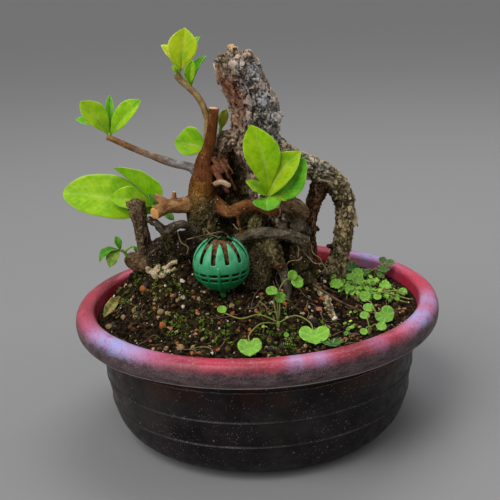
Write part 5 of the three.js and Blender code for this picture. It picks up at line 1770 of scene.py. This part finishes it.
# Thin roots that cross the dark places between the large ones, as (radius, points)
STRANDS = (
    (0.4, ((29, -18, 112), (27.3, -20, 110.6), (21.2, -23, 110.9), (18.9, -24, 108.1), (19.7, -25, 103))),
    (
        0.35,
        (
            (29, -13, 115), (31.1, -14, 112.8), (33.5, -16, 110), (37, -18, 107.2), (41.3, -18, 106.6),
            (45, -19, 100),
        ),
    ),
    (
        0.35,
        ((-40, -22, 127.5), (-34.3, -24, 129.3), (-25.9, -24, 130.7), (-19.7, -22, 131.2), (-15, -16, 127)),
    ),
    (0.3, ((-29, -22, 134), (-26, -24, 131), (-20, -26, 128.5))),
    (0.3, ((35, -12, 118), (36, -15, 113), (40, -17, 110), (42, -16, 104))),
    (0.35, ((24, -10, 122), (27, -16, 117), (26.5, -19, 112))),
    (0.35, ((-12, -12, 133), (-9, -14, 130), (-4, -13, 131.5))),
    (0.35, ((-46, -14, 130), (-44, -16, 124), (-40, -17, 121), (-41, -18, 117))),
)


def build_rootlets(random, number=90):
    """Fine dry rootlets and stalks that lie over the soil."""
    solids = []
    for _ in range(number):
        turn, away = 2 * math.pi * random.random(), 92 * math.sqrt(random.random())
        x, y = away * math.cos(turn), away * math.sin(turn)
        heading, bend = 2 * math.pi * random.random(), random.uniform(-0.5, 0.5)
        radius, step = random.uniform(0.12, 0.34), random.uniform(1.5, 4)
        rows = []
        for i in range(6):
            if math.hypot(x, y) > 96:
                break
            rows.append((*lying(x, y, 0.35 + 0.9 * math.sin(math.pi * i / 5) * random.random()), radius))
            x, y = x + step * math.cos(heading), y + step * math.sin(heading)
            heading += bend + random.uniform(-0.4, 0.4)
        if len(rows) > 2:
            solids.append(tube(smooth_path(rows, 3), 5))
    solids += [strand(points, slim, 5, 6) for slim, points in STRANDS]
    made = built("quince_rootlets", *merged(solids))
    finished(made, [], litter_material("Rootlets", (0.07, 0.043, 0.024), (0.27, 0.19, 0.11)))


def litter_material(name, dark, light):
    """Dry stalks, twigs and leaves."""
    sheet = MaterialSheet(name)
    return sheet.done(sheet.weathered(dark, light, 90.0, 0.45, 0.4), 0.8, sheet.relief(1200.0, 0.0004))


# The fertiliser basket and its pellets


BASKET = {"at": (-20, -30, 114), "radius": 17, "wall": 1.1, "tip": 64, "spike": 15, "grid": 0.38}
# Low slots as (height as a share of the radius, width)
LOW_SLOTS = ((-0.19, 5.4), (-0.38, 5.0))
LOW_SLOT_NUMBER = 15
LOW_SLOT_TURN = 8
SLOT_HEIGHT = 1.6
# How near the middle and how far out the cutters of the slots reach
HIGH_REACH = (5.5, 22)
LOW_REACH = (12, 22)
# Seams as (direction from above, height of their upper end), both in degrees
SEAMS = ((-94, 6), (0, -20), (86, -20), (180, -20))
# High slots as (height as a share of the radius, half width)
SLOT_HALF_WIDTHS = ((0.2, 1.3), (0.5, 1.3), (0.68, 1.5), (0.82, 1.85), (0.95, 2.45))


def ring_cut_tree(name):
    """Cuts a ring of like slots out of a shell."""
    made, sheet, given, out = node_group(
        name, "Geometry", ("Geometry", "Geometry"), Shell="Geometry", Slot="Object", Number="Int",
        Start="Float", Material="Material",
    )
    ring = sheet.wire("GeometryNodeMeshCircle", {"Vertices": given["Number"], "Radius": 0.0})
    turn = given["Start"] + sheet.wire("GeometryNodeInputIndex") * (2 * math.pi / given["Number"])
    heading = sheet.wire("FunctionNodeEulerToRotation", {0: sheet.upward(turn)})
    slot = sheet.wire("GeometryNodeObjectInfo", {"Object": given["Slot"]}, "Geometry")
    slots = sheet.wire(
        "GeometryNodeInstanceOnPoints", {"Points": ring, "Instance": slot, "Rotation": heading}
    )
    whole = sheet.wire("GeometryNodeRealizeInstances", {0: slots})
    cut = sheet.wire(
        "GeometryNodeMeshBoolean", {"Mesh 1": given["Shell"], "Mesh 2": whole, "Self Intersection": True},
        operation="DIFFERENCE", solver="EXACT",
    )
    sheet.feed(out, sheet.wire("GeometryNodeSetMaterial", {0: cut, "Material": given["Material"]}))
    return made


# What builds each shared tree of nodes
GROUPS = {
    "Weathering": weathering_group,
    "Specks": specks_group,
    "Fine relief": fine_relief_group,
    "Scatter": scatter_tree,
    "Ring of slots": ring_cut_tree,
}


def slot_solid(rows, near, far):
    """A closed cutter through (height, half width) rows that runs from near to far along -Y."""
    outline = [(-half, height) for height, half in rows] + [(half, height) for height, half in reversed(rows)]
    points = [(x, -out, z) for out in (near, far) for x, z in outline]
    number = len(outline)
    faces = [list(range(number)), list(range(2 * number - 1, number - 1, -1))]
    faces += [(i, i + number, (i + 1) % number + number, (i + 1) % number) for i in range(number)]
    return points, faces


def arc_outline(radius, start, end, steps):
    turns = np.radians(np.linspace(start, end, steps + 1))
    return [(max(0.0, radius * math.cos(turn)), radius * math.sin(turn)) for turn in turns]


def build_basket(settings):
    radius, wall, tip = BASKET["radius"], BASKET["wall"], BASKET["tip"]
    outline = arc_outline(radius, -90, tip, 40) + arc_outline(radius - wall, tip, -90, 40)
    outline[0], outline[-1] = (0.0, outline[0][1]), (0.0, outline[-1][1])
    made = outward(built("quince_basket", *lathe(np.array(outline), 96)))
    material = basket_material(settings)
    high = slot_solid([(part * radius, half) for part, half in SLOT_HALF_WIDTHS], *HIGH_REACH)
    cutters = [(high, settings.slats, math.pi / settings.slats)]
    for height, width in LOW_SLOTS:
        rows = [(height * radius + lift * SLOT_HEIGHT, width / 2) for lift in (-0.5, 0.5)]
        cutters.append((slot_solid(rows, *LOW_REACH), LOW_SLOT_NUMBER, math.radians(LOW_SLOT_TURN)))
    for solid, number, start in cutters:
        cutter = outward(built("slot", *solid))
        worked(
            made, shared_tree("Ring of slots"), slot=cutter, number=number, start=start, material=material
        )
        bpy.data.objects.remove(cutter)
    seams = []
    for direction, top in SEAMS:
        turn = math.radians(direction)
        arc = arc_outline(radius + 0.1, top, -86, 22)
        rows = [(out * math.cos(turn), out * math.sin(turn), height, 0.55) for out, height in arc]
        seams.append(tube(rows, 8))
    spike = [(0, 0, 1 - radius, 2.2), (0, 0, -radius - 3, 1.8), (0, 0, -radius - BASKET["spike"] + 1, 0.15)]
    seams.append(tube(spike, 14))
    fused(joined(made, mesh_from("seams", *merged(seams))), BASKET["grid"] * MM, 3)
    places = points_of(made.data)
    flat = np.hypot(places[:, 0], places[:, 1])
    share_up = places[:, 2] / radius
    heading = np.degrees(np.arctan2(places[:, 1], places[:, 0]))
    pitch = 360 / settings.slats
    off = np.abs((heading + 90 + pitch / 2) % pitch - pitch / 2) / (pitch / 2)
    # Painted highlight along the slats' rounded edges
    mark(made.data, "slat_edge", smoothstep(off, 0.3, 0.75) * smoothstep(share_up, 0.15, 0.3))
    # Painted shade inside the shell
    mark(made.data, "inside", smoothstep(np.hypot(flat, places[:, 2]), radius - 0.35, radius - 0.75))
    move_points(made.data, places + np.array(BASKET["at"]))
    made.data.shade_smooth()
    finished(made, ["basket"], material)


def basket_material(settings):
    """Moulded green plastic with water drops and soil splashes, a painted highlight on its edges and top and
    painted shade inside.
    """
    sheet = MaterialSheet("Basket plastic", 0.35)
    height = sheet.height()
    cloudy = sheet.noise(5, 4).step(0.35, 0.65)
    # Painted highlight towards the top and on the slats' edges
    top_highlight = height.step(0.104, 0.126) * (cloudy * 0.4 + 0.28)
    shade = sheet.mix(top_highlight | sheet.attribute("slat_edge") * 0.45, settings.green, settings.mint_highlight)
    # Painted shade inside the basket
    shade = shade.mix(sheet.attribute("inside") * 0.75, (0.0, 0.05, 0.018))
    dirt = height.step(0.108, 0.098) * sheet.noise(3, 4).step(0.45, 0.65)
    shade = shade.mix(dirt * 0.55, (0.03, 0.035, 0.012))
    shade = shade.mix(sheet.specks(600.0, 0.12) * 0.5, (0.3, 0.45, 0.3))
    grain = sheet.relief(500.0, 0.00012)
    soak = (0.15, (0.1, 1.0, 0.5), 0.001)
    return sheet.done(shade, cloudy.step(0.0, 1.0, 0.24, 0.38), grain, 0.7, soak)


def build_pellets(settings):
    """Soaked pellets that fill the basket, by scattering them over a round core."""
    random = Random(12)
    core = bmesh.new()
    bmesh.ops.create_icosphere(core, subdivisions=3, radius=12.6 * MM)
    mesh = bpy.data.meshes.new("core")
    core.to_mesh(mesh)
    core.free()
    mark(mesh, "pellets", np.ones(len(mesh.vertices)))
    ground = linked("core", mesh)
    shapes = [grain_mesh(random, 2, 0.9) for _ in range(4)]
    made = scattered(
        "quince_pellets", ground, "pellets", shapes, pellet_material(settings), where="pellets",
        density=150000.0, smallest=1.5, largest=2.1, tilt=1.5, sink=0.6, seed=3,
    )
    work = bmesh.new()
    work.from_mesh(made.data)
    work.from_mesh(ground.data)
    bmesh.ops.translate(work, verts=work.verts, vec=Vector(BASKET["at"]) * MM)
    work.to_mesh(made.data)
    work.free()
    bpy.data.objects.remove(ground)
    finished(made, ["pellets"], bpy.data.materials["Pellets"])


def pellet_material(settings):
    sheet = MaterialSheet("Pellets")
    shade = sheet.weathered(settings.pellet, (0.3, 0.16, 0.08), 420.0, 0.4, 0.65)
    return sheet.done(shade, 0.85, sheet.relief(900.0, 0.001))


# Fertiliser cake, dead leaf and dry twig


CAKE = (
    (-65, -7, 104.5, 3.6), (-60.5, -9, 105, 4.2), (-55.5, -9.5, 105, 3.8), (-51.5, -12, 104, 3.4),
    (-62, -13, 102.5, 3.2), (-56.5, -14, 102.5, 3.4),
)
CAKE_GRID = 0.3
CAKE_STRAW = ((-54, -10, 107), (-50.5, -11.5, 110), (-47.5, -12, 110.5))
DRY_TWIG = ((27, -7, 97.8), (40, -14, 89), (52, -21, 82.4), (64, -28, 78.2))
DEAD_LEAF = Leaf(
    (-87, 4, 84.5), (-94.5, -20, 79.8), (0.4, -0.3, 0.85), 8, "olive", fold=30, wave=1.2, curl=0.3,
)


def ball(middle, radius, subdivisions=3):
    """A round lump as points and faces."""
    work = bmesh.new()
    bmesh.ops.create_icosphere(work, subdivisions=subdivisions, radius=radius)
    points = [np.array(corner.co) + middle for corner in work.verts]
    faces = [[corner.index for corner in face.verts] for face in work.faces]
    work.free()
    return points, faces


def build_cake():
    """Crumbly lumps, fused, with a straw in them."""
    random = Random(5)
    lumps = []
    for x, y, z, radius in CAKE:
        for _ in range(9):
            turn, lean = 2 * math.pi * random.random(), math.acos(random.uniform(-0.6, 1))
            out = radius * random.uniform(0.35, 0.75)
            offset = np.array(
                (math.sin(lean) * math.cos(turn), math.sin(lean) * math.sin(turn), math.cos(lean))
            )
            lumps.append(ball(np.array((x, y, z)) + out * offset, radius * random.uniform(0.25, 0.5), 2))
        lumps.append(ball(np.array((x, y, z)), radius * 0.62))
    lumps.append(strand(CAKE_STRAW, 1.3, 4, 10))
    made = fused(built("quince_cake", *merged(lumps)), CAKE_GRID * MM)
    places = points_of(made.data)
    move_points(made.data, places + normals_of(made.data) * (0.35 * rough(places, 1.7, 51))[:, None])
    made.data.shade_smooth()
    finished(made, ["fertiliser_cake"], cake_material())


def cake_material():
    sheet = MaterialSheet("Fertiliser cake")
    shade = sheet.weathered((0.4, 0.28, 0.14), (0.66, 0.53, 0.34), 260.0, 0.5, 0.45)
    shade = shade.mix(sheet.noise(5, 4).step(0.52, 0.68) * 0.6, (0.2, 0.12, 0.045))
    return sheet.done(shade, 0.85, sheet.relief(1100.0, 0.0006))


def build_litter(leaf_settings):
    twig = built("quince_dry_twig", *strand(DRY_TWIG, 0.8, 10, 8))
    material = litter_material("Dry twig", (0.05, 0.03, 0.02), (0.16, 0.1, 0.06))
    finished(twig, ["dry_twig"], material)
    leaf, _ = leaf_sheet("quince_dead_leaf", [DEAD_LEAF], leaf_settings, 0.4 * MM)
    material = litter_material("Dead leaf", (0.16, 0.12, 0.025), (0.34, 0.3, 0.1))
    finished(leaf, ["dead_leaf"], material)


# Violets, small weeds and seedlings


# A small leaf at a place, on a stalk by way of others. Each place is x, y and the height above the mound. It
# points away from its plant's crown unless towards says otherwise, and a loose one has a stalk of its own.
Sprig = namedtuple(
    "Sprig", "at radius by towards face lobes notch loose",
    defaults=((), None, (0, -0.5, 0.85), 0, 0.0, False),
)

# Small plants, each with a crown that stands in the soil, its leaves and its narrow blades
PLANTS = {
    "violet_front": dict(tone="bright", crown=(12, -53.4), leaves=(
        Sprig((-5, -81, 4.4), 6, by=((2, -59, 5), (-5, -67, 4)), towards=(0, -1, -0.4), notch=0.5),
        Sprig(
            (31.8, -69, 4.6), 7.8, by=((22, -52, 7), (30, -57, 7)), towards=(0, -1, -0.1),
            face=(0, -0.3, 0.95), notch=0.5,
        ),
        Sprig((-20.5, -48.5, 5.5), 2.8, by=((1, -52, 5), (-10, -54, 4)), towards=(-0.3, 0.5, 0.6)),
        Sprig((9, -51.4, 19.7), 3.4, by=((11, -53, 8), (10, -52, 14)), towards=(-1, 0, 0)),
        Sprig((13.8, -52, 17), 3.2, by=((13, -53, 9),), towards=(0.2, 0, 1), face=(0.2, -1, 0.2)),
        Sprig(
            (24, -45.4, 23.5), 3.6, by=((12, -53, 9), (13, -50, 19), (18, -47, 25)),
            towards=(0.8, -0.2, -0.5), face=(0.4, -0.7, 0.6), notch=0.3,
        ),
        Sprig(
            (21.5, -45, 27), 2.9, by=((12, -53, 9), (13, -50, 19), (18, -47, 25)), towards=(0, 0.2, 1),
            face=(0.2, -0.9, 0.2),
        ),
    )),
    "violet_tail": dict(tone="dull", crown=(39, -68), leaves=(
        Sprig((41, -78.5, 3), 6, by=((39, -71, 4.4),), face=(0, 0.1, 1), notch=0.3),
    )),
    "violet_right": dict(tone="bright", crown=(72, -33), leaves=(
        Sprig((76, -41, 4.2), 5.2, face=(-0.25, -0.65, 0.72), notch=0.4),
        Sprig((67.5, -30, 5), 3.3),
        Sprig((68.2, -9.5, 5), 3.3, towards=(0, 0.4, 0.5), face=(-0.2, -0.8, 0.6)),
    )),
    "seedlings": dict(tone="bright", crown=(65, -55), leaves=(
        Sprig((63, -48, 7), 2.9, towards=(-1, 0, 0)),
        Sprig((71, -60.5, 4.6), 3),
        Sprig((60.5, -64, 3.4), 2.3),
    )),
    "weed_back": dict(tone="dull", crown=(74, 37), leaves=(
        Sprig((66, 47, 6.4), 5.4, lobes=5),
        Sprig((72, 31, 7.4), 4, lobes=3),
        Sprig((86, 34.5, 8.2), 4.2, lobes=5),
        Sprig((91, 38, 11.5), 2.8, by=((82, 39, 8), (87, 38.5, 10.4))),
        Sprig((86.5, 41.5, 12.5), 2.6, by=((82, 39, 8), (87, 38.5, 10.4)), towards=(0, 1, 0.5)),
    )),
    "weed_middle": dict(tone="bright", crown=(64, 8), leaves=(
        Sprig((67, 18.5, 6.4), 4.4, lobes=3),
        Sprig((51.5, 1.8, 4.6), 4.4, lobes=5),
        Sprig((76, 17.2, 5.2), 3.4, lobes=3),
        Sprig((61.5, 15, 8.6), 3, lobes=3),
        Sprig((59, 0, 5.8), 3.4, lobes=3),
        Sprig((68, 28, 8.4), 4.2, by=((70, 16, 5), (70, 24, 8)), lobes=3),
    )),
    "weed_front": dict(tone="bright", crown=(82, 2), leaves=(
        Sprig((83.6, 10, 5.2), 4, lobes=3),
        Sprig((93.4, 0, 3.8), 2.8),
        Sprig((76, -8.5, 4.2), 2.6),
    ), blades=(
        ((88, -5, 3.4), (94, -10, 2.8), (97.5, -14, 3.6)),
        ((85, -5, 2.6), (90, -12, 2.2), (93, -18, 3.2)),
        ((76, -3, 5), (86, -6, 7), (95, -8, 5)),
        ((74, -5, 5), (82, -9, 8), (92, -10, 8)),
    )),
}

# Where small leaves are strewn, as (plant, number, x, y, reach, least radius, most radius, height above the
# mound)
STREWN = (
    ("weed_middle", 60, 62, 9, 15, 0.8, 2.0, 5.0),
    ("weed_middle", 32, 70, 24, 12, 0.8, 2.0, 6.0),
    ("weed_front", 46, 82, 2, 13, 0.7, 1.7, 3.5),
    ("weed_back", 44, 76, 38, 15, 0.9, 2.1, 6.0),
    ("violet_front", 6, 12, -54, 12, 0.9, 1.6, 3.5),
    ("violet_right", 6, 68, -26, 13, 0.9, 1.6, 3.0),
    ("seedlings", 8, 60, -54, 12, 0.8, 1.5, 2.6),
)


def on_mound(place):
    return np.array((place[0], place[1], float(mound_height(place[0], place[1])) + place[2]))


def round_leaf(at, towards, face, radius, lobes=0, notch=0.0):
    """A cupped sheet about at, widest across its middle and scalloped; its foot is where the stalk joins."""
    front = unit(face)
    along = np.array(towards, dtype=float)
    along = unit(along - front * (along @ front))
    across = np.cross(along, front)
    rings, steps = 5, 36 if lobes else 30
    turns = np.linspace(0, 2 * math.pi, steps, endpoint=False)
    edge = np.ones(steps)
    if lobes:
        edge = 0.66 + 0.34 * np.abs(np.cos(lobes * turns / 2)) ** 0.7
        edge *= 1 + 0.06 * np.cos(3 * lobes * turns)
    edge *= 1 + 0.03 * np.cos(14 * turns)
    behind = np.abs(np.abs(turns - math.pi) / math.pi)
    edge *= 1 - notch * np.exp(-(behind / 0.13)**2)
    edge *= 1 + 0.16 * (1 - behind) * (notch > 0) * np.sin(np.minimum(behind / 0.3, 1) * math.pi / 2)
    tip = 1 + 0.14 * (notch > 0) * np.exp(-((np.minimum(turns, 2 * math.pi - turns)) / 0.35)**2)
    rows = np.linspace(0, 1, rings + 1)[1:, None]
    run = np.cos(turns) * edge * tip
    side = np.sin(turns) * edge * (1.04 if notch else 1.0)
    seed = at[0] + 2 * at[1]
    lift = rows**2 * 0.2 + 0.05 * rows * np.sin(3 * turns + seed) + 0.14 * rows * np.abs(side) - 0.1
    points = at + radius * (
        along * (rows * run)[:, :, None] + across * (rows * side)[:, :, None] + front * lift[:, :, None]
    )
    points = np.vstack([points.reshape(-1, 3), at - front * radius * 0.1])
    middle = len(points) - 1
    faces = [[middle, j, (j + 1) % steps] for j in range(steps)]
    for i in range(rings - 1):
        for j in range(steps):
            k = (j + 1) % steps
            faces.append([i * steps + j, (i + 1) * steps + j, (i + 1) * steps + k, i * steps + k])
    facts = np.stack(
        np.broadcast_arrays(rows, (turns / math.pi - 1)[None, :], np.full_like(lift, radius)), axis=2
    )
    facts = np.vstack([facts.reshape(-1, 3), (0, 0, radius)])
    foot = at - along * radius * (0.55 if notch else 0.7) - front * 0.12 * radius
    return points, faces, facts, foot


def strewn_leaves(plant, random, settings):
    """Small round and lobed leaves near a plant, each on its own thin stalk out of the soil."""
    found = []
    for owner, number, x, y, reach, least, most, height in STREWN:
        if owner != plant:
            continue
        for _ in range(round(number * settings.strewn)):
            turn, away = 2 * math.pi * random.random(), reach * math.sqrt(random.random())
            at = (x + away * math.cos(turn), y + away * math.sin(turn), random.uniform(0.35, 1) * height)
            if math.hypot(at[0], at[1]) > 96:
                continue
            lean = (0.5 * math.cos(turn), -0.45 + 0.4 * math.sin(turn), 0.85)
            towards = (math.cos(turn), math.sin(turn), 0.1)
            radius, lobes = random.uniform(least, most), random.choice((0, 0, 3, 3, 5))
            found.append(Sprig(at, radius, towards=towards, face=lean, lobes=lobes, loose=True))
    return found


# Added to a small leaf's colour the more it is yellowed
YELLOWED = np.array((0.1, 0.08, 0.0))


def build_plant(name, settings):
    plant = PLANTS[name]
    x, y = plant["crown"]
    random = Random(sum(name.encode()))
    base = np.array(getattr(settings, plant["tone"]))
    leaves, stems, tones = [], [], []
    for i, leaf in enumerate([*plant["leaves"], *strewn_leaves(name, random, settings)]):
        leaf_x, leaf_y, height = leaf.at
        towards = leaf.towards or (leaf_x - x, leaf_y - y, 0)
        *blade, foot = round_leaf(
            on_mound(leaf.at), towards, leaf.face, leaf.radius, leaf.lobes, leaf.notch
        )
        leaves.append(blade)
        pale = random.random() if leaf.loose else random.uniform(0.25, 0.6)
        tones.append(base * (0.5 + 0.8 * pale) + YELLOWED * pale**3)
        if leaf.loose:
            beside = random.uniform(-1.5, 1.5), random.uniform(-1.5, 1.5)
            start = on_mound((leaf_x + beside[0], leaf_y + beside[1], -1))
            rows = [start, (start + foot) / 2 + (0.3, 0.3, 0.4), foot]
        else:
            way = leaf.by or (((x + leaf_x) / 2, (y + leaf_y) / 2, 1.5 + 0.8 * height),)
            rows = [on_mound((x, y, 1.6 + 0.5 * i)), *[on_mound(point) for point in way], foot]
        stems.append(strand(rows, 0.26 if leaf.loose else 0.42, 6, 6))
    for blade in plant.get("blades", ()):
        rows = [on_mound((x, y, 3)), *[on_mound(point) for point in blade]]
        stems.append(tube(smooth_path(np.column_stack([rows, np.linspace(0.6, 0.25, len(rows))]), 6), 6))
    stems.append(tube(smooth_path([(*on_mound((x, y, -6)), 1.2), (*on_mound((x, y, 3)), 1.0)], 4), 10))
    points, faces, facts = zip(*leaves)
    made = built(f"quince_{name}", *merged(zip(points, faces)))
    colours = np.repeat(tones, [len(leaf) for leaf in points], axis=0)
    mark_leaves(made.data, np.vstack(facts).T, colours, colours * 1.35)
    with_stems(thickened(made, settings.thickness), stems, tuple(settings.stem))
    finished(made, [name], bpy.data.materials.get("Weed leaf") or weed_material())


def weed_material():
    """Soft thin leaf with fine veins that spread from its foot."""
    sheet = MaterialSheet("Weed leaf", 0.12)
    across = sheet.attribute("across")
    fan = abs(sheet.math("SINE", sheet.attribute("along") * 11.0)).step(0.9, 1.0) * across.step(0.15, 0.4)
    # Stalks are marked as lying far across, and have no veins
    fan = fan * 0.3 * sheet.math("LESS_THAN", across, 1.5)
    shade = sheet.blade_colour(sheet.noise(2.2, 4).step(0.35, 0.65)).mix(fan, (0.45, 0.62, 0.28))
    soak = (0.45, (0.5, 1.0, 0.15), 0.0015)
    return sheet.done(shade, 0.5, sheet.relief(1500.0, 0.00015), 0.7, soak)


# Floor, lights and camera


CAMERA_AT = (0, -564.71, 280.75)
FLOOR_REACH = 60000
CAMERA_TURN = (73.381, 2.704, -0.543)


def build_stage(settings):
    scene = bpy.context.scene
    scene.view_settings.view_transform = "Standard"
    lens = bpy.data.cameras.new("quince_camera")
    lens.lens, lens.sensor_width, lens.clip_start = settings.focal, 36, 0.01
    camera = linked("quince_camera", lens)
    camera.location = Vector(CAMERA_AT) * MM
    camera.rotation_euler = [math.radians(turn) for turn in CAMERA_TURN]
    scene.camera = camera
    corners = [(x * FLOOR_REACH, y * FLOOR_REACH, 0) for x, y in ((-1, -1), (1, -1), (1, 1), (-1, 1))]
    floor = built("quince_floor", corners, [(0, 1, 2, 3)])
    floor.data.materials.append(floor_material(settings))
    sky = bpy.data.worlds.new("quince_sky")
    sky.use_nodes = True
    background = sky.node_tree.nodes["Background"]
    background.inputs["Color"].default_value = (0.98, 0.99, 1.0, 1)
    background.inputs["Strength"].default_value = settings.sky
    scene.world = sky
    soft_light("quince_key", (-650, -1130, 2260), settings.key, (1.0, 0.98, 0.94), size=0.9)
    soft_light("quince_fill", (1540, -500, 1300), settings.key * 0.2, (0.97, 0.98, 1.0), size=0.9)
    soft_light("quince_top", (180, 450, 1500), settings.key * 0.5, (1.0, 1.0, 1.0), size=0.9)
    soft_light("quince_window", (-1100, -1000, 1340), settings.window, (1.0, 0.98, 0.95), "SUN", angle=0.9)


def soft_light(name, place, power, shade, kind="AREA", **settings):
    """A soft light that faces the middle of the tree."""
    lamp = bpy.data.lights.new(name, kind)
    lamp.energy, lamp.color = power, shade
    for title, value in settings.items():
        setattr(lamp, title, value)
    light = linked(name, lamp)
    light.location = Vector(place) * MM
    light.rotation_euler = (light.location - Vector((0, 0, 0.12))).to_track_quat("Z", "Y").to_euler()


def floor_material(settings):
    return MaterialSheet("Floor").done(settings.floor, 0.8)


# Operators, panel and main


class MakeStage(bpy.types.Operator):
    """Builds the floor, the lights and the camera"""

    bl_idname = "quince.make_stage"
    bl_label = "Stage"

    def execute(self, context):
        build_stage(context.scene.quince_stage)
        return {"FINISHED"}


class MakeBowl(bpy.types.Operator):
    """Builds the plastic training bowl"""

    bl_idname = "quince.make_bowl"
    bl_label = "Bowl"

    def execute(self, context):
        build_bowl(context.scene.quince_bowl)
        return {"FINISHED"}


class MakeSoil(bpy.types.Operator):
    """Builds the soil mound"""

    bl_idname = "quince.make_soil"
    bl_label = "Soil"

    def execute(self, context):
        build_soil(context.scene.quince_soil)
        return {"FINISHED"}


class MakeTree(bpy.types.Operator):
    """Builds the tree's wood"""

    bl_idname = "quince.make_tree"
    bl_label = "Tree"

    def execute(self, context):
        build_tree(context.scene.quince_tree)
        build_flakes(context.scene.quince_tree)
        return {"FINISHED"}


class MakeShoots(bpy.types.Operator):
    """Builds the quince's young shoots"""

    bl_idname = "quince.make_shoots"
    bl_label = "Shoots"

    def execute(self, context):
        for name in SHOOTS:
            build_shoot(name, context.scene.quince_leaf)
        return {"FINISHED"}


class MakeScatter(bpy.types.Operator):
    """Builds the grit, the moss and the rootlets on the soil"""

    bl_idname = "quince.make_scatter"
    bl_label = "Grit and moss"

    def execute(self, context):
        build_scatter(context.scene.quince_soil)
        return {"FINISHED"}


class MakeBasket(bpy.types.Operator):
    """Builds the fertiliser basket and its pellets"""

    bl_idname = "quince.make_basket"
    bl_label = "Basket"

    def execute(self, context):
        build_basket(context.scene.quince_basket)
        build_pellets(context.scene.quince_basket)
        return {"FINISHED"}


class MakeLitter(bpy.types.Operator):
    """Builds the fertiliser cake, the dry twig and the dead leaf"""

    bl_idname = "quince.make_litter"
    bl_label = "Cake and litter"

    def execute(self, context):
        build_cake()
        build_litter(context.scene.quince_leaf)
        return {"FINISHED"}


class MakeWeeds(bpy.types.Operator):
    """Builds the violets, weeds and seedlings"""

    bl_idname = "quince.make_weeds"
    bl_label = "Weeds"

    def execute(self, context):
        for name in PLANTS:
            build_plant(name, context.scene.quince_weeds)
        return {"FINISHED"}


OPERATORS = (
    MakeStage, MakeBowl, MakeSoil, MakeScatter, MakeTree, MakeShoots, MakeBasket, MakeLitter, MakeWeeds,
)


class QuincePanel(bpy.types.Panel):
    """Lists the settings and what can be built"""

    bl_idname = "VIEW3D_PT_quince"
    bl_label = "Flowering quince"
    bl_space_type = "VIEW_3D"
    bl_region_type = "UI"
    bl_category = "Quince"

    def draw(self, context):
        for name, group in SETTINGS.items():
            box = self.layout.box()
            box.label(text=group.__doc__)
            for title in group.__annotations__:
                box.prop(getattr(context.scene, name), title)
        for operator in OPERATORS:
            self.layout.operator(operator.bl_idname)


def register():
    for made in (*SETTINGS.values(), *OPERATORS, QuincePanel):
        bpy.utils.register_class(made)
    for name, group in SETTINGS.items():
        setattr(bpy.types.Scene, name, PointerProperty(type=group))


def unregister():
    for name in SETTINGS:
        delattr(bpy.types.Scene, name)
    for made in reversed((*SETTINGS.values(), *OPERATORS, QuincePanel)):
        bpy.utils.unregister_class(made)


def main():
    register()
    for operator in OPERATORS:
        family, name = operator.bl_idname.split(".")
        getattr(getattr(bpy.ops, family), name)()


if __name__ == "__main__":
    main()
